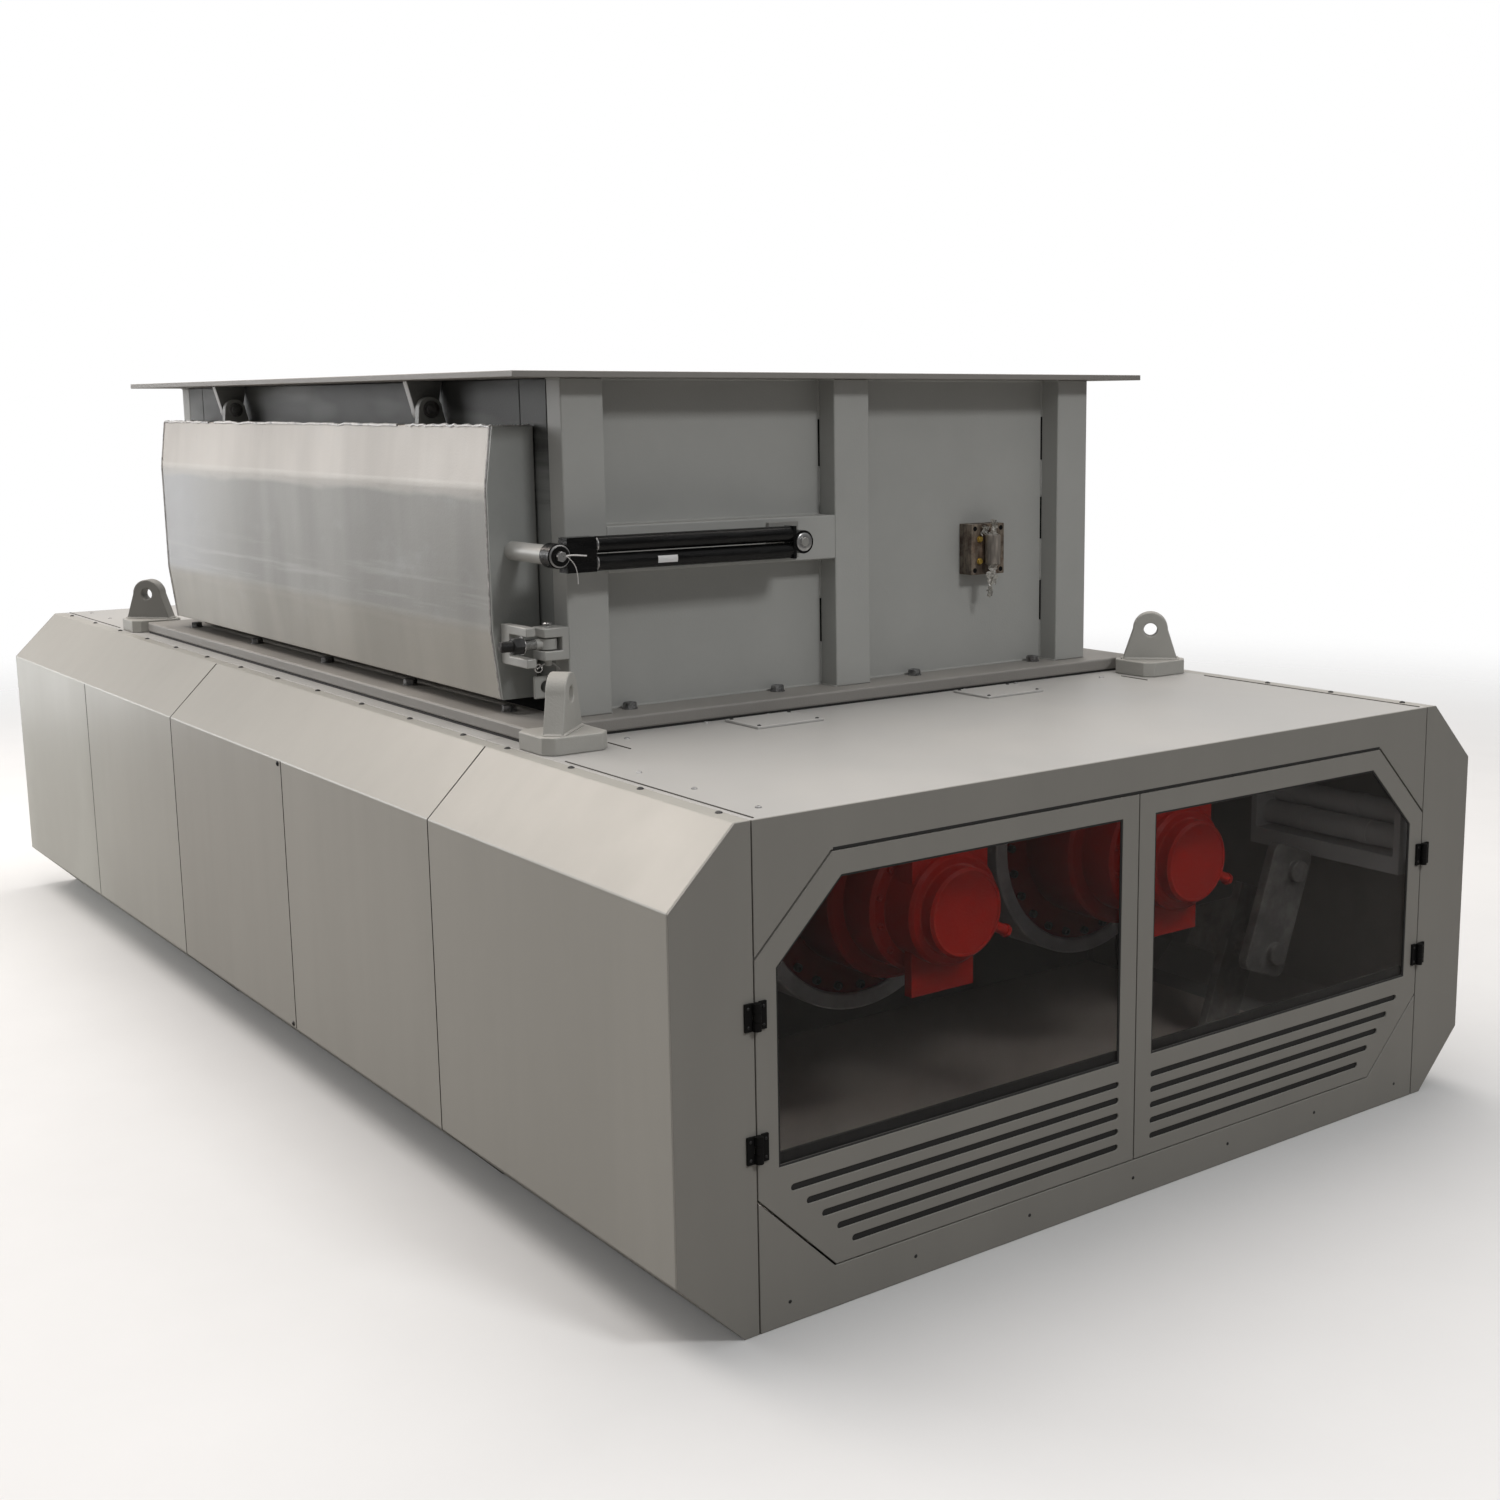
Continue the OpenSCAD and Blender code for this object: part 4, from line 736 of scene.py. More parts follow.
# Corners of a black sheet behind the slots, painted shade in them, as (distance from the
# middle, height), and the x it begins at
SHADE_SHEET_X = 2.2442
shade_sheet_corners = np.array([(0.010, 0.100), (0.812, 0.100), (0.985, 0.272), (0.985, 0.306), (0.010, 0.306)])
for side, name in ((-1, "left"), (1, "right")):
    coat(name + "_glass", pane)
    low, high = corners(name + "_glass")
    inner, outer = (low[1], high[1]) if side > 0 else (-high[1], -low[1])
    inner, outer, bottom, top = inner + LAP, outer - LAP, low[2] + LAP, high[2] - LAP
    edge = np.array([
        (inner, bottom), (outer, bottom), (outer, top - CUT), (outer - CUT, top), (inner, top),
    ])
    rings = [(0.0, 0.0), (0.0, 0.0028), (0.004, 0.0022), (0.0048, 0.0), (0.0, 0.0)]
    strip = np.stack([
        np.column_stack([np.full(5, high[0] + x), inset(edge, d)]) for d, x in rings
    ])
    strip[..., 1] *= side
    ends = [(high[0], side * y, bottom) for y in (inner, outer)]
    add_piece(name + "_window_seal", rubber, name + "_glass",
              strip, bar(*ends, (-0.0065, 0, 0), (-0.0120, 0, 0.026)))
    # Black sheet behind the louvre slots: painted shade in the slots
    hub, rim = np.full_like(shade_sheet_corners, shade_sheet_corners.mean(axis=0)), shade_sheet_corners
    layers = [(hub, 0.0), (rim, 0.0), (rim, 0.0015), (hub, 0.0015)]
    sheet = np.stack([np.column_stack([np.full(5, SHADE_SHEET_X + x), yz * (side, 1)]) for yz, x in layers])
    add_piece(name + "_slot_shade", rubber, name + "_leaf", sheet)
# Rubber lip over both leaves, on the frame
LIP_ENDS = (2.2499, -0.817, 0.9168), (2.2499, 0.817, 0.9168)
add_piece("leaf_lip", rubber, "window_end_frame", bar(*LIP_ENDS, (0, 0, 0), (0.0006, 0, 0.0057)))

plastic = painted("hinge_plastic", grey(0.004), 0.6, 0.1, 0.3, 0.02, Specular_IOR_Level=0.2)
coat("hinge_bases left_hinges right_hinges", plastic)
base_low, base_high = corners("hinge_bases")
PIVOT_INSET, SCREW_RISE, HINGE_FACE = 0.027, 0.018, 2.2555
LEAF_SCREW_Y, BASE_SCREW_Y = 0.983, 1.0175
pivot_zs = base_low[2] + PIVOT_INSET, base_high[2] - PIVOT_INSET
for side, node in ((-1, "left_hinges"), (1, "right_hinges")):
    for owner, y in ((node, LEAF_SCREW_Y), ("hinge_bases", BASE_SCREW_Y)):
        places = [
            (HINGE_FACE, side * y, z + dz) for z in pivot_zs for dz in (-SCREW_RISE, SCREW_RISE)
        ]
        add_piece(f"{node}_screws_{owner[:5]}", screw_black, owner,
                  stand(button_screw(0.0032), places))

# ---- Deck ----
# Flat cover plates over the frame, with two small plates over the grease points. Button
# screws hold them down, and dark strips in the seams beside the end plates are painted shade.
deck_paint = painted("deck_paint", (0.455, 0.452, 0.44, 1), 0.33, 0.05, 0.04, 0.25)
dress("deck_plates", deck_paint, edge=0.001)
dress("access_plates", deck_paint, edge=0.0015)
plate_low, plate_high = corners("access_plates")
# The screws stand this far inside each plate's outer edge and its inner one
OUTER_INSET, INNER_INSET = 0.012, 0.178
access_screws = [
    (x, side * y, plate_high[2])
    for x in (plate_low[0] + OUTER_INSET, plate_high[0] - OUTER_INSET)
    for y in (plate_high[1] - OUTER_INSET, plate_high[1] - INNER_INSET)
    for side in (-1, 1)
]
add_piece("access_screws", screw_black, "access_plates",
          stand(button_screw(0.005), access_screws, (0, 0, 1)))
screw_zinc = bare_steel("screw_zinc", grey(0.5), grey(0.25), 0.02, 40.0, 0.6)
# Rows near the door side's edge, a pair near the lugs, and four before the hopper
ROW_X, ROW_Y = (1.733, 1.944, 2.167), -0.928
LUG_PAIR, HOPPER_ROW, HOPPER_Y = (1.372, 0.745), 1.306, (0.312, 0.491)
deck_screws = [(s * x, ROW_Y, deck_top) for s in (1, -1) for x in ROW_X]
deck_screws += [(LUG_PAIR[0], s * LUG_PAIR[1], deck_top) for s in (-1, 1)]
deck_screws += [(HOPPER_ROW, s * y, deck_top) for s in (-1, 1) for y in HOPPER_Y]
add_piece("deck_screws", screw_zinc, "deck_plates",
          stand(button_screw(0.007), deck_screws, (0, 0, 1)))

# Dark strips of painted shade in the seams: along both edges of the end plates, and a short one beside
# each near lug
EDGE_Y, EDGE_SEAMS = 0.986, ((1.53, 2.236), (-2.236, -1.62))
LUG_Y, LUG_SEAM = 0.804, (1.391, 1.489)
lines = [(*ends, s * EDGE_Y) for s in (-1, 1) for ends in EDGE_SEAMS]
lines += [(*LUG_SEAM, s * LUG_Y) for s in (-1, 1)]
seams = [
    swept(np.linspace((x0, y, deck_top), (x1, y, deck_top), 3), 0.0020, (0, 0, 1))
    for x0, x1, y in lines
]
add_piece("deck_seams", seam_shade, "deck_plates", np.stack(seams))

# ---- Lifting lugs ----
# Four thick eyes for crane hooks, each welded across the corners of its foot plate. They
# are painted lighter than the deck, and hooks have rubbed the paint inside the eyes.
lug_paint, tree, shader, film = sprayed("lug_paint", (0.40, 0.395, 0.37, 1), 0.5, 0.3, 0.22)
rubbed = use_group(tree, worn_edges, Width=0.005, Breaks=60.0, Amount=0.5)["Mask"]
tone = mix(rubbed, film["Colour"], (0.30, 0.28, 0.25, 1))
# Painted shade: the far pair's upright plates are darkened
x, y, z = split(reading(tree))
far_lug_shade = times(ramp(x, 0.1, -0.1), ramp(z, 1.038, 1.046, 0.0, 0.42))
tone = mix(far_lug_shade, tone, (0.05, 0.05, 0.046, 1))
finish(shader, tone, film["Roughness"], film["Height"], 0.0006, 0.4)
dress("lifting_lugs", lug_paint, edge=0.003)

lug_low, lug_high = corners("lifting_lugs")
# Half the foot plate's sides and its thickness, then half the sides of the eye plate
FOOT, HALF_LENGTH, HALF_WIDTH = (0.075, 0.08, 0.04), 0.075, 0.023
lug_beads = []
for x in (lug_low[0] + FOOT[0], lug_high[0] - FOOT[0]):
    for y in (lug_low[1] + FOOT[1], lug_high[1] - FOOT[1]):
        middle = np.array([x, y, deck_top + FOOT[2]])
        lean = -np.sign(x * y)
        along = unit(np.array([-lean, 1.0, 0])) * HALF_LENGTH
        across = unit(np.array([1.0, lean, 0])) * HALF_WIDTH
        for s in (-1, 1):
            for run, off in ((along, across), (across, along)):
                lug_beads.append(weld_bead(middle + s * off - run, middle + s * off + run, 0.007))
add_piece("lug_beads", lug_paint, "lifting_lugs", *lug_beads)

# ---- Hopper flanges ----
# The hopper's welded base ring is bolted down on the chamber with a flat gasket between,
# and the rim ring lies on the posts. Both are cut from plate, in a darker, warmer grey.
ring_paint = painted("ring_paint", (0.262, 0.250, 0.234, 1), 0.46, 0.16, 0.1, 0.35, 0.0004)
dress("bottom_flange", ring_paint, edge=0.005)
dress("top_flange", ring_paint, edge=0.0015)

ring_low, ring_high = corners("bottom_flange")
gasket_paint = painted("gasket", grey(0.012), 0.7, 0.2, 0.3, 0.0)
outline = np.array([
    (ring_low[0], ring_low[1]), (ring_high[0], ring_low[1]),
    (ring_high[0], ring_high[1]), (ring_low[0], ring_high[1]),
])
# The gasket fills the gap down to the deck, a little behind the ring's edge
gap = ring_low[2] - deck_top
rings = [(0.002, 0.0), (0.002, gap), (0.03, gap), (0.03, 0.0), (0.002, 0.0)]
gasket = [np.column_stack([inset(outline, d), np.full(4, deck_top + z)]) for d, z in rings]
add_piece("flange_gasket", gasket_paint, "bottom_flange", np.stack(gasket))

bolt_steel = bare_steel("bolt_steel", grey(0.30), grey(0.10), 0.15, 60.0, 0.6)
wall_low, wall_high = corners("end_walls")
# Bolts along both long sides, and along both ends OFF_WALL outside the walls
LONG_X, LONG_Y = np.linspace(-1.161, 1.052, 5), 0.873
END_Y, OFF_WALL = (-0.635, -0.212, 0.227, 0.647), 0.03
places = [(x, side * LONG_Y, ring_high[2]) for x in LONG_X for side in (-1, 1)]
places += [
    (x, y, ring_high[2]) for y in END_Y for x in (wall_high[0] + OFF_WALL, wall_low[0] - OFF_WALL)
]
spins = np.random.default_rng(7).uniform(0, np.pi / 3, len(places))
add_piece("flange_bolts", bolt_steel, "bottom_flange",
          stand(hex_head(0.03, 0.0125, 0.0185, 0.003), places, (0, 0, 1), spins))

# ---- Hopper walls ----
# Flat plates stiffened by upright flat-tube posts and ribs, with a cross rib behind the
# gas spring. Everything is welded, in short stitches along the ribs, and painted grey.
hopper_paint, tree, shader, film = sprayed(
    "hopper_paint", (0.405, 0.408, 0.392, 1), 0.46, 0.16, 0.10
)
rubbed = use_group(tree, worn_edges, Width=0.004, Breaks=14.0, Amount=0.35)["Mask"]
tone = mix(rubbed, film["Colour"], (0.58, 0.57, 0.54, 1))
finish(shader, tone, film["Roughness"], film["Height"], 0.0004, 0.3)
dress("end_walls end_posts spring_rail rear_wall rear_ribs", hopper_paint, edge=0.003)

# On the door's side the wall is darkened up under the rim as painted shade, its edge wavering in long
# level streaks
rim_shaded_paint, tree, shader, film = sprayed(
    "rim_shaded_paint", (0.275, 0.283, 0.275, 1), 0.42, 0.3, 0.25, Specular_IOR_Level=0.2
)
place = reading(tree)
level_waves = noise(stretched(place, (0.9, 3.0, 26.0)), 1.6, 4, 0.6)
under_rim_shade = ramp(calc("MULTIPLY_ADD", level_waves, 0.3, split(place)["Z"]), 1.62, 1.86)
tone = mix(under_rim_shade, film["Colour"], (0.062, 0.064, 0.062, 1))
# Along the middle of its free strip the painted shade under the rim is lifted by up to half
unshaded = ramp(noise(stretched(place, (1.0, 1.0, 4.0)), 1.3, 2), 0.5, 0.62, 0.0, 0.5)
finish(shader, mix(unshaded, tone, film["Colour"]), film["Roughness"], film["Height"], 0.0004)
dress("service_posts service_beams", rim_shaded_paint, edge=0.003)

# The edges of the end walls' three posts, in y
POSTS = (-0.81, -0.702, -0.054, 0.054, 0.702, 0.81)
_, door_post, mid_low, mid_high, rear_post, _ = POSTS
post_low, post_high = corners("end_posts")
rib_low = corners("rear_ribs")[0]
rail_low, rail_high = corners("spring_rail")
foot_z, rim_z = post_low[2], post_high[2]
beads = []
for x, face in ((wall_high[0], post_high[0]), (wall_low[0], post_low[0])):
    beads += [weld_bead((x, y, foot_z), (x, y, rim_z)) for y in (door_post, mid_high)]
    for z in (foot_z, rim_z):
        beads += [weld_bead((x, y0, z), (x, y1, z)) for y0, y1 in (POSTS[1:3], POSTS[3:5])]
        beads += [weld_bead((x, y, z), (face, y, z), 0.004) for y in POSTS]
for z in (rail_low[2], rail_high[2]):
    beads.append(weld_bead((wall_high[0], door_post, z), (wall_high[0], mid_low, z), 0.004))
add_piece("end_wall_beads", hopper_paint, "end_walls", *beads)

# Ribs are stitched: short welds with open gaps between them. Near-black strips in the gaps
# are painted shade, and the same near black paints shade into holes and under the door
hollow_shade = painted("hollow_shade", grey(0.008), 0.9, 0.1, 0.1, 0.0, Specular_IOR_Level=0.1)
# Heights of the gaps above the posts' feet, and where the rear ribs' edges are in x
GAPS = np.array([(0.11, 0.22), (0.335, 0.45), (0.552, 0.668)])
RIB_EDGES = np.array([0.13, 0.5795, 0.7095, 1.159, 1.289, 1.7385, 1.8685, 2.318])
gaps = foot_z + GAPS
welds = np.array([foot_z, *gaps.ravel(), rim_z]).reshape(-1, 2)
seams = [(x, y) for x in (wall_high[0], wall_low[0]) for y in (mid_low, rear_post)]
seams += [(x, rib_low[1]) for x in rib_low[0] + RIB_EDGES]
stitches = [weld_bead((x, y, a), (x, y, b)) for x, y in seams for a, b in welds]
add_piece("stitch_welds", hopper_paint, "rear_ribs", *stitches)
slits = [
    swept(np.linspace((x, y, z0), (x, y, z1), 3), 0.0032, (1, 0, 0))
    for x, y in seams
    for z0, z1 in gaps
    if y != mid_low or not rail_low[2] < (z0 + z1) / 2 < rail_high[2]
]
add_piece("stitch_gaps", hollow_shade, "rear_ribs", np.stack(slits))

# A near-black strip in the gap under the door, against the lower beam, is painted shade
GAP_SHADE_ENDS = (-1.268, -0.810, foot_z), (1.158, -0.810, foot_z)
add_piece("door_gap_shade", hollow_shade, "service_beams",
          bar(*GAP_SHADE_ENDS, (0, -0.002, 0.0005), (0, 0, 0.034)))

# ---- Access door ----
# A hollow door of bent sheet, seamed with ground welds to its end plates and hung from two
# eyes under the rim. Its silver-grey coat is uneven, with smears of filler along the bends,
# and its faces carry painted light and shade.


def build_bend_smears():
    """Mask of filler smeared along a level: a wavy band below Level that fades downwards."""
    tree, source, result, place = open_group("bend_smears", ("Mask",), Level=1.5, Depth=0.036)
    wave = noise(stretched(place, (1.0, 1.0, 0.0)), 1.9, 3, 0.5)
    reach = times(source["Depth"], ramp(wave, 0.25, 0.75, 0.7, 1.35))
    share = calc("DIVIDE", calc("SUBTRACT", source["Level"], split(place)["Z"]), reach)
    band = times(ramp(share, -0.12, 0.04), ramp(share, 1.25, 0.75))
    wiped = noise(stretched(place, (4.0, 4.0, 18.0)), 1.6, 5, 0.6)
    feed(times(band, ramp(wiped, 0.25, 0.6, 0.35, 1.0)), result["Mask"])
    return tree


bend_smears = build_bend_smears()
door_low, door_high = corners("door_front")
LOWER_BEND, UPPER_BEND = door_low[2] + 0.161, door_low[2] + 0.485

door_paint, tree, shader = new_material("door_paint", Metallic=0.15)
place = reading(tree)
x, y, z = split(place)
# Painted light and shade by face: the upper face, tilted up, is lighter and warmer, the middle upright
# face darker, the lower face between them
upper = ramp(z, UPPER_BEND - 0.03, UPPER_BEND + 0.01)
middle = ramp(z, LOWER_BEND - 0.02, LOWER_BEND + 0.02)
face_shading = mix(middle, (0.39, 0.375, 0.335, 1), (0.30, 0.296, 0.280, 1))
face_shading = mix(upper, face_shading, (0.475, 0.443, 0.405, 1))
film = use_group(tree, paint_film, Colour=face_shading, Clouds=0.2, Mottle=0.10, Gloss=0.4)
tone, drawn = streaked(film["Colour"], 0.15, 0.91, 1.09, Broad=3.6, Fine=9.0, Length=0.22)
blots = ramp(noise(stretched(place, (1.6, 1.6, 3.2)), 2.2, 5, 0.6), 0.56, 0.8)
tone = mix(times(blots, 0.25), tone, (0.50, 0.52, 0.54, 1))
# Painted reflection: the middle face is paler to the far side; it is also wiped level above the lower
# bend
far_reflection = ramp(calc("ADD", x, times(drawn, 0.7)), -0.1, -0.75)
far_reflection = times(far_reflection, calc("SUBTRACT", middle, upper))
tone = mix(times(far_reflection, 0.6), tone, (0.50, 0.515, 0.54, 1))
near_bend = times(ramp(z, LOWER_BEND - 0.05, LOWER_BEND + 0.03),
                  ramp(z, LOWER_BEND + 0.17, LOWER_BEND + 0.05))
wiped = ramp(noise(stretched(place, (1.0, 1.0, 22.0)), 1.7, 5, 0.6), 0.5, 0.72)
tone = mix(times(times(near_bend, wiped), 0.4), tone, (0.52, 0.53, 0.52, 1))
for level, share in ((UPPER_BEND + 0.010, 0.45), (LOWER_BEND + 0.01, 0.12)):
    smear = use_group(tree, bend_smears, Level=level)["Mask"]
    tone = mix(times(smear, share), tone, (0.58, 0.56, 0.52, 1))
scratches = ramp(noise(stretched(place, (60.0, 60.0, 4.0)), 1.0, 6, 0.7), 0.66, 0.74)
tone = mix(times(scratches, 0.35), tone, (0.2, 0.2, 0.19, 1))
veil = use_group(tree, settled_dust, Colour=tone, Roughness=film["Roughness"], Amount=0.3)
sheen = calc("MULTIPLY_ADD", drawn, -0.2, calc("ADD", veil["Roughness"], 0.1))
swell = calc("ADD", times(noise(place, 3.0, 2), 12.0), film["Height"])
finish(shader, veil["Colour"], sheen, swell, 0.0003)
dress("door_front", door_paint, edge=0.002, fold=0.008, segments=3)
# Painted shade: a darker copy of the grey paint for the door's back, end plates and arms
shaded_grey_paint = painted("shaded_grey_paint", (0.315, 0.323, 0.312, 1), 0.42, 0.3, 0.25, 0.3, 0.0004)
dress("door_back_plate door_end_plates door_arms", shaded_grey_paint, edge=0.002)
# The hinge plates are painted dark, painted shade under the rim. Their cut edges that face
# outwards, to the door's side, are bright, partly bare steel and partly a painted highlight
plate_shade_paint, tree, shader, film = sprayed(
    "plate_shade_paint", (0.20, 0.205, 0.20, 1), 0.42, 0.3, 0.25
)
outward = ramp(split(reading(tree, "NewGeometry", "Normal"))["Y"], -0.45, -0.75)
finish(shader, mix(outward, film["Colour"], grey(0.66)), film["Roughness"], film["Height"], 0.0004)
dress("door_hinge_plates", plate_shade_paint, edge=0.002)

ground_weld, tree, shader = new_material("ground_weld", Metallic=0.35)
place = reading(tree)
patches = noise(place, 30.0, 5, 0.65)
finish(shader, mix(ramp(patches, 0.3, 0.6), grey(0.36), grey(0.74, 0.02)),
       ramp(patches, 0.3, 0.7, 0.35, 0.6), noise(place, 140.0, 3), 0.0008)


def ground_bead(start, end, radius, seed):
    """Weld ground by hand: a bead whose radius wanders smoothly and never drops to nothing."""
    chance = np.random.default_rng(seed)
    wander = np.convolve(chance.uniform(0.5, 1.5, 166), np.ones(7) / 7, "valid")
    line = np.linspace(start, end, 160)
    line[:, 2] += np.interp(np.arange(160), np.arange(0, 160, 5), chance.normal(0, 0.001, 32))
    return swept(line, radius * wander, (0.31, 0.53, 0.79))


SHOULDER = 0.018
back, front, shoulder = door_high[1], door_low[1], door_low[1] + SHOULDER
bottom, top = door_low[2], door_high[2]
profile = [(shoulder, top), (front, UPPER_BEND), (front, LOWER_BEND), (shoulder, bottom)]
# The bead along the top stops short of both hinge plates
stops = door_low[0], -0.784, -0.732, 0.596, 0.648, door_high[0]
edge_beads = [
    ground_bead((x0, shoulder, top), (x1, shoulder, top), 0.0035, 3 + k)
    for k, (x0, x1) in enumerate(zip(stops[::2], stops[1::2]))
]
for k, x in enumerate((door_low[0], door_high[0])):
    for j, ((y0, z0), (y1, z1)) in enumerate(zip(profile, profile[1:])):
        edge_beads.append(ground_bead((x, y0, z0), (x, y1, z1), 0.0028, 10 + 5 * k + j))
    edge_beads.append(ground_bead((x, shoulder, top), (x, back, top), 0.0025, 30 + k))
add_piece("door_edge_welds", ground_weld, "door_front", *edge_beads)

pin_steel = bare_steel("pin_steel", grey(0.3), grey(0.12), 0.2, 30.0, 0.7)
dress("door_hinge_pins", pin_steel, edge=0.0015)
_, pin_y, pin_z = sum(corners("door_hinge_pins")) / 2
arm_low, arm_high = corners("door_arms")
ARM, EYE_R = 0.024, 0.033
add_piece("hinge_washers", pin_steel, "door_hinge_pins",
          stand(hoop(0.0132, 0.021, 0, 0.003, (0.0015, 0.0008)),
                [(x, pin_y, pin_z) for x in (arm_low[0] + ARM, arm_high[0])]))
eye_beads = [
    weld_bead((x + dx, pin_y - EYE_R, top), (x + dx, back + 0.002, top), 0.0045)
    for x in (arm_low[0], arm_high[0] - ARM)
    for dx in (0, ARM)
]
add_piece("door_arm_beads", hopper_paint, "door_arms", *eye_beads)

# ---- Gas springs ----
# Twin gas springs between the stub shaft on the door and a pin on the cross rib: painted
# tubes that still wear their thin film, black rods, and an eye block at each end.
bright_steel, tree, shader = new_material("bright_steel", Metallic=0.9)
skin = use_group(tree, steel_scale, Metal=grey(0.62, 0.02), Scale=grey(0.4), Rust=0.04, Size=14.0)
finish(shader, skin["Colour"], times(skin["Roughness"], 0.6), skin["Height"], 0.0002)

spring_enamel, tree, shader, film = sprayed(
    "spring_enamel", grey(0.004), 0.22, 0.2, 0.5,
    Coat_Weight=0.12, Coat_Roughness=0.1, Specular_IOR_Level=0.2,
)
creases = noise(stretched(reading(tree), (30.0, 3.0, 30.0)), 1.4, 6, 0.7)
finish(shader, mix(ramp(creases, 0.6, 0.8), film["Colour"], grey(0.025)),
       ramp(creases, 0.35, 0.7, 0.14, 0.42), creases, 0.0025)
LATCH_COLOUR = (0.44, 0.44, 0.42, 1)
latch_paint = painted("latch_paint", LATCH_COLOUR, 0.4, 0.25, 0.2, 0.3, Metallic=0.2)
coat("spring_tubes spring_rods", spring_enamel)
dress("spring_bracket", door_paint, edge=0.0015)
coat("door_stub", latch_paint)

tube_low, tube_high = corners("spring_tubes")
rod_low, rod_high = corners("spring_rods")
spring_x, _, spring_z = (tube_low + tube_high) / 2
# The tubes lie SPACING above and below the pins' line, and BLOCK_R is an eye block's radius
SPACING, BLOCK_R = 0.02, 0.028
stub_y, pivot_y = rod_low[1] + BLOCK_R, tube_high[1] - BLOCK_R
gland = hoop(0.0103, 0.0178, -0.001, 0.0065, (0.0033, 0.0035))
ends = [(spring_x, tube_low[1], spring_z + s * SPACING) for s in (-1, 1)]
add_piece("spring_glands", bright_steel, "spring_tubes", stand(gland, ends, (0, -1, 0)))

LABEL_BACK, LABEL_LONG, LABEL_TURN = 0.15, 0.052, 0.42
label_paper = painted("label_paper", grey(0.72), 0.4, 0.1, 0.1, 0.0)
angle, run = np.meshgrid(
    np.linspace(-LABEL_TURN, LABEL_TURN, 9), np.linspace(0, LABEL_LONG, 5), indexing="ij"
)
tube_r = tube_high[2] - spring_z - SPACING


def curved_label(lift):
    """Sheet of points wrapped on the lower tube's outer side, lifted off it by lift."""
    return np.stack([
        spring_x + (tube_r + lift) * np.cos(angle), tube_low[1] + LABEL_BACK + run,
        spring_z - SPACING + (tube_r + lift) * np.sin(angle),
    ], axis=-1)


label = np.concatenate([curved_label(0.0004), curved_label(0.0008)[::-1]])
add_piece("spring_label", label_paper, "spring_tubes", label.transpose(1, 0, 2))

# Washers at both eyes, and at the stub's eye the hexagon pin end and the wires of its split pin
face = np.array([rod_high[0] - 0.006, stub_y, spring_z])
eye_ring = turned([
    (0.0, 0), (0.0255, 0), (0.0255, 0.003), (0.0235, 0.0045), (0.0155, 0.0045), (0.0150, 0.003),
    (0, 0.003),
], 32)
add_piece("stub_trim", bright_steel, "spring_rods", stand(eye_ring, face),
          stand(hex_head(0.021, 0.011), face + (0.003, 0, 0), spin=0.2))


def bent_wire(points, radius, count=40):
    """Wire: a tube along a smooth curve through the points (a spline of cubic arcs)."""
    knots = np.array(points, float)
    knots = np.vstack([2 * knots[0] - knots[1], knots, 2 * knots[-1] - knots[-2]])
    place = np.linspace(0, len(points) - 1 - 1e-9, count)
    first = place.astype(int)
    t = (place - first)[:, None]
    a, b, c, d = (knots[first + k] for k in range(4))
    path = 0.5 * (
        2 * b + (c - a) * t + (2 * a - 5 * b + 4 * c - d) * t**2 + (3 * b - a - 3 * c + d) * t**3
    )
    return swept(path, radius, (0.83, 0.41, 0.38))


tip = face + (0.012, 0, 0)
tie = [(0, -0.012, 0.002), (0, 0, 0), (0, 0.025, 0.002), (-0.002, 0.062, -0.001)]
tail = [
    (0, 0.004, 0.003), (0.003, 0.016, -0.004), (0.004, 0.030, -0.022), (0.003, 0.036, -0.045),
    (0.002, 0.037, -0.062),
]
wire_white = painted("wire_white", grey(0.66, 0.02), 0.5, 0.1, 0.1, 0.0)
add_piece("pin_wires", wire_white, "spring_rods",
          bent_wire(tip + tie, 0.0019), bent_wire(tip + tail, 0.0009))
pivot_face = np.array([tube_high[0], pivot_y, spring_z])
add_piece("pivot_trim", bright_steel, "spring_bracket",
          stand(hoop(0.0112, 0.022, 0, 0.004, (0.0015, 0.001)), pivot_face),
          stand(hoop(0.0105, 0.0135, 0.0045, 0.006, columns=24), pivot_face))

# ---- Latch ----
# A swing bolt on an upright clevis pin closes into the fork on the door's end, and a nut
# pulls it tight. The drilled plate below takes a padlock. Cast and forged parts, grey.
dress("latch_fork latch_clevis lock_plate", latch_paint, edge=0.0025)

bolt_low, bolt_high = corners("swing_bolt")
nut_low, nut_high = corners("swing_nut")
# The bolt is painted up to its nut, and its threaded end is black with oil
bolt_paint, tree, shader, film = sprayed("bolt_paint", LATCH_COLOUR, 0.4, 0.25, 0.2, Metallic=0.2)
oiled = ramp(split(reading(tree))["Y"], nut_low[1] + 0.006, nut_low[1])
finish(shader, mix(oiled, film["Colour"], grey(0.014)), film["Roughness"])
coat("swing_bolt", bolt_paint)
bolt_x, _, bolt_z = (nut_low + nut_high) / 2
_, nut_len, nut_flats = nut_high - nut_low
nut = hex_head(nut_flats, nut_len, columns=36)
nut_piece = add_piece("latch_nut", screw_black, "swing_nut",
                      stand(nut, (bolt_x, nut_high[1], bolt_z), (0, -1, 0), np.pi / 6))
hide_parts("swing_nut")


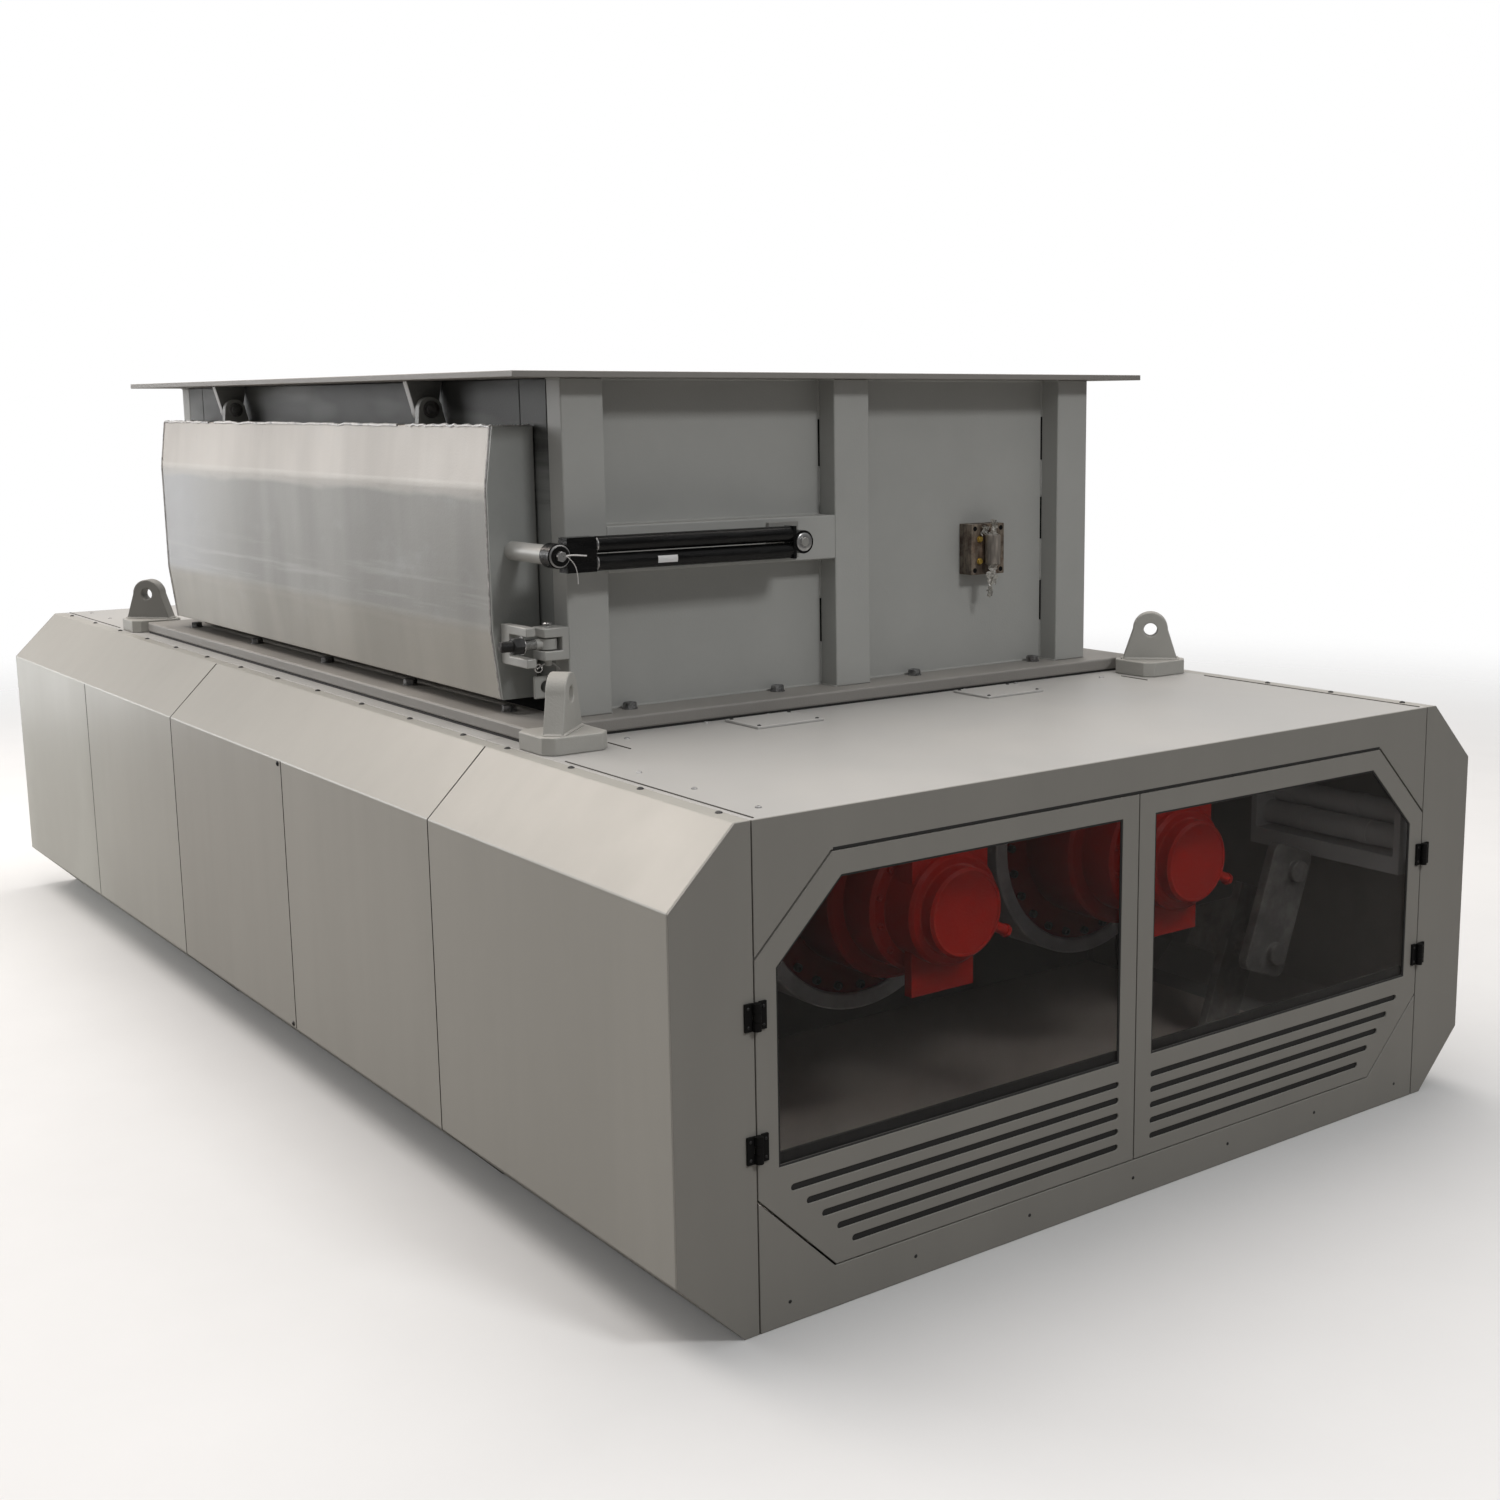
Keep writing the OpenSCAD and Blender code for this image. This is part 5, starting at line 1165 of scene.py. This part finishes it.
def thread(radius, depth, pitch, length, columns=24):
    """Screw thread: the radius drops by depth as height over pitch, less the turn, nears a half."""
    level = np.linspace(0, length, int(length / pitch * 6))[:, None]
    share = np.linspace(0, 1, columns, endpoint=False)[None]
    saw = np.abs((level / pitch - share) % 1 - 0.5) * 2
    near_end = np.clip((length - level) / pitch, 0.3, 1)
    reach = (radius - depth * (1 - saw)) * (0.82 + 0.18 * near_end)
    angle = share * 2 * np.pi
    body = np.stack([reach * np.cos(angle), reach * np.sin(angle), level + 0 * angle], axis=-1)
    axis = np.zeros((1, columns, 3))
    return np.concatenate([axis, body, axis + (0, 0, length)])


THREAD_LONG, PAST_END = 0.084, 0.002
screwed = thread(0.0128, 0.0014, 0.003, THREAD_LONG + PAST_END)
thread_start = (bolt_x, bolt_low[1] + THREAD_LONG, bolt_z)
add_piece("bolt_thread", screw_black, "swing_bolt",
          surface("bolt_thread", stand(screwed, thread_start, (0, -1, 0)), sharp=60))
WASHER = 0.002
add_piece("latch_washer", bright_steel, "swing_bolt",
          stand(hoop(0.0125, 0.021, 0, WASHER), (bolt_x, nut_high[1] + WASHER, bolt_z), (0, -1, 0)))

clevis_low, clevis_high = corners("latch_clevis")
BOLT_EYE = 0.021
pin_at = np.array([bolt_high[0] - BOLT_EYE, bolt_high[1] - BOLT_EYE, clevis_low[2]])
wing = [
    (0.004, -0.03, -0.004), (0.002, -0.014, 0.004), (0, 0, 0.006), (0.002, 0.014, 0.003),
    (0.006, 0.026, -0.010),
]
loop = pin_at + (0.002, -0.026, -0.004) + np.vstack([circle(23, 0.009), circle(1, 0.009)])
pin_head = turned([(0, 0), (0.0115, 0), (0.0115, 0.003), (0.0095, 0.005), (0, 0.005)], 24)
add_piece("clevis_pin_trim", bright_steel, "latch_clevis",
          bent_wire(pin_at + wing, 0.0022), swept(loop, 0.0016, (1, 0, 0)),
          stand(pin_head, (*pin_at[:2], clevis_high[2]), (0, 0, 1)))

# ---- Position sensor ----
# A small magnetic switch screwed to a rusty steel block on the end wall, still wrapped in
# the crumpled clear tape from the paint shop, which sticks up above and hangs down below.
block_rust, tree, shader = new_material("block_rust")
skin = use_group(tree, steel_scale, Metal=(0.19, 0.155, 0.12, 1), Scale=(0.07, 0.045, 0.03, 1),
                 Rust=0.35, Size=28.0)
tone, _ = streaked(skin["Colour"], 0.15, 0.6, 1.4, Broad=40.0, Fine=160.0, Length=0.2)
finish(shader, tone, skin["Roughness"], skin["Height"], 0.001)
dress("sensor_block", block_rust, edge=0.0015)

sensor_grey, tree, shader, film = sprayed("sensor_grey", (0.26, 0.23, 0.2, 1), 0.5, 0.3, 0.4)
tone, _ = streaked(film["Colour"], 0.15, 0.55, 1.35, Broad=60.0, Fine=240.0)
finish(shader, tone, film["Roughness"], film["Height"], 0.0006)
dress("sensor_body", sensor_grey, edge=0.003)

block_low, block_high = corners("sensor_block")
INSET = 0.012
holes = [
    (block_high[0], y, z)
    for y in (block_low[1] + INSET, block_high[1] - INSET)
    for z in (block_low[2] + INSET, block_high[2] - INSET)
]
# Dark cups in the block's holes are painted shade
cup = turned([(0, -0.001), (0.0065, -0.001), (0.0065, 0.0005), (0, 0.0005)], 18)
add_piece("block_holes", hollow_shade, "sensor_block", stand(cup, holes))
yellow_zinc, tree, shader = new_material("yellow_zinc", Metallic=0.6)
patches = noise(reading(tree), 120.0, 4)
finish(shader, mix(patches, (0.42, 0.25, 0.03, 1), (0.55, 0.42, 0.12, 1)),
       ramp(patches, 0.3, 0.7, 0.3, 0.5))
screw_y = block_low[1] + 0.028
yellow = [(block_high[0], screw_y, z) for z in (block_low[2] + 0.036, block_high[2] - 0.040)]
add_piece("sensor_screws", yellow_zinc, "sensor_block",
          stand(hex_head(0.013, 0.005, 0.009, 0.0015), yellow))

clear_tape, tree, shader = new_material("clear_tape")
folds = noise(reading(tree), 90.0, 4, 0.6)
finish(shader, mix(folds, (0.42, 0.40, 0.36, 1), (0.75, 0.73, 0.68, 1)),
       ramp(folds, 0.4, 0.7, 0.1, 0.35), folds, 0.002)
feed(ramp(folds, 0.4, 0.62, 0.3, 0.85), shader.inputs["Alpha"])


def tape_tuft(foot, length, width, seed):
    """Crumpled strip of tape: a narrowing sheet whose rows are thrown about by chance."""
    chance = np.random.default_rng(seed)
    share, across = np.meshgrid(np.linspace(0, 1, 14), np.linspace(-1, 1, 7), indexing="ij")
    narrow = width * (1 - 0.65 * share) * across
    fold = 0.006 * np.sin(across * 3 + share * 7) * (0.5 + share)
    sheet = np.stack([fold, narrow, share * length], axis=-1)
    sheet += chance.normal(0, 0.0018, sheet.shape) + foot
    back = sheet + (0.0006, 0, 0)
    return surface("tuft", np.concatenate([sheet, back[:, ::-1]], axis=1), sharp=80)


body_low, body_high = corners("sensor_body")
x, y, _ = (body_low + body_high) / 2
add_piece(
    "tape_tufts", clear_tape, "sensor_body",
    tape_tuft((x + 0.004, y, body_high[2] - 0.006), 0.045, 0.017, 5),
    tape_tuft((x - 0.008, y - 0.020, body_high[2]), 0.022, 0.014, 6),
    tape_tuft((x + 0.004, y, body_low[2] + 0.006), -0.058, 0.016, 7),
    tape_tuft((x + 0.001, y - 0.010, body_low[2] - 0.02), -0.066, 0.009, 8),
)

# ---- Studio ----
# A plain pale floor that fades into the white room, a wide light overhead, and soft boxes
# on the door side and beyond the far end.
floor_mesh = bpy.data.meshes.new("studio_floor")
angle = np.linspace(0, 2 * np.pi, 64, endpoint=False)
rim = np.column_stack([16 * np.cos(angle), 16 * np.sin(angle), np.full(64, -0.0005)])
floor_mesh.from_pydata(rim.tolist(), [], [list(range(64))])
studio_floor = new_object("studio_floor", floor_mesh)
floor_paint, tree, shader = new_material("floor_paint", Roughness=0.85)
place = reading(tree)
pale = mix(noise(place, 2.0, 5, 0.6), grey(0.78), grey(0.84))
seen = reading(tree, "LightPath", "Is Camera Ray")
feed(mix(seen, grey(0.30, 0.06), pale), shader.inputs["Base Color"])
away = step("VectorMath", {0: place}, operation="LENGTH")["Value"]
feed(ramp(away, 4.0, 9.5, 1.0, 0.0), shader.inputs["Alpha"])
floor_mesh.materials.append(floor_paint)

world = bpy.data.worlds.new("studio")
bpy.context.scene.world = world
world.use_nodes = True
tree = world.node_tree
tree.nodes.clear()
x, y, z = split(reading(tree, label="Generated"))
height = calc("MULTIPLY_ADD", x, -0.45, z)
glow = mix(ramp(height, -0.3, 0.95), grey(0.14), grey(0.60))
room = step("Background", {"Color": glow, "Strength": 0.80})[0]
backdrop = step("Background", {"Color": (1, 1, 1, 1)}, tree)[0]
seen = reading(tree, "LightPath", "Is Camera Ray")
both = step("MixShader", {0: seen, 1: room, 2: backdrop})[0]
feed(both, tree.nodes.new("ShaderNodeOutputWorld").inputs["Surface"])


def soft_light(name, place, target, width, depth, power, colour=(1, 1, 1)):
    """Rectangular light at place that faces target, width by depth metres."""
    light = bpy.data.lights.new(name, "AREA")
    light.shape = "RECTANGLE"
    light.size = width
    light.size_y = depth
    light.energy = power
    light.color = colour
    lamp = new_object(name, light)
    lamp.visible_camera = False
    aim = (Vector(target) - Vector(place)).to_track_quat("-Z", "Y").to_matrix().to_4x4()
    lamp.matrix_world = Matrix.Translation(place) @ aim


soft_light("ceiling_light", (-0.9, 0.2, 6.5), (-0.2, 0.3, 0.0), 9.0, 6.0, 470.0, (1.0, 0.945, 0.90))
soft_light("far_left_light", (-8.0, -6.5, 3.2), (-1.5, -1.0, 0.6), 4.0, 3.0, 200.0)
soft_light("far_side_light", (-5.6, -2.5, 1.0), (-1.5, -1.1, 0.8), 0.9, 1.8, 14.0)
soft_light("far_end_light", (-6.0, -3.3, 5.6), (2.0, -1.1, 0.95), 2.4, 1.8, 95.0, (1.0, 0.89, 0.80))
soft_light("window_end_light", (8.2, 0.6, 6.5), (1.2, 0.0, 1.4), 1.5, 1.1, 195.0)
soft_light("bay_light", (2.19, 0.0, 0.925), (1.2, 0.0, 0.4), 1.5, 0.03, 0.35)

bpy.context.scene.view_settings.view_transform = "Standard"
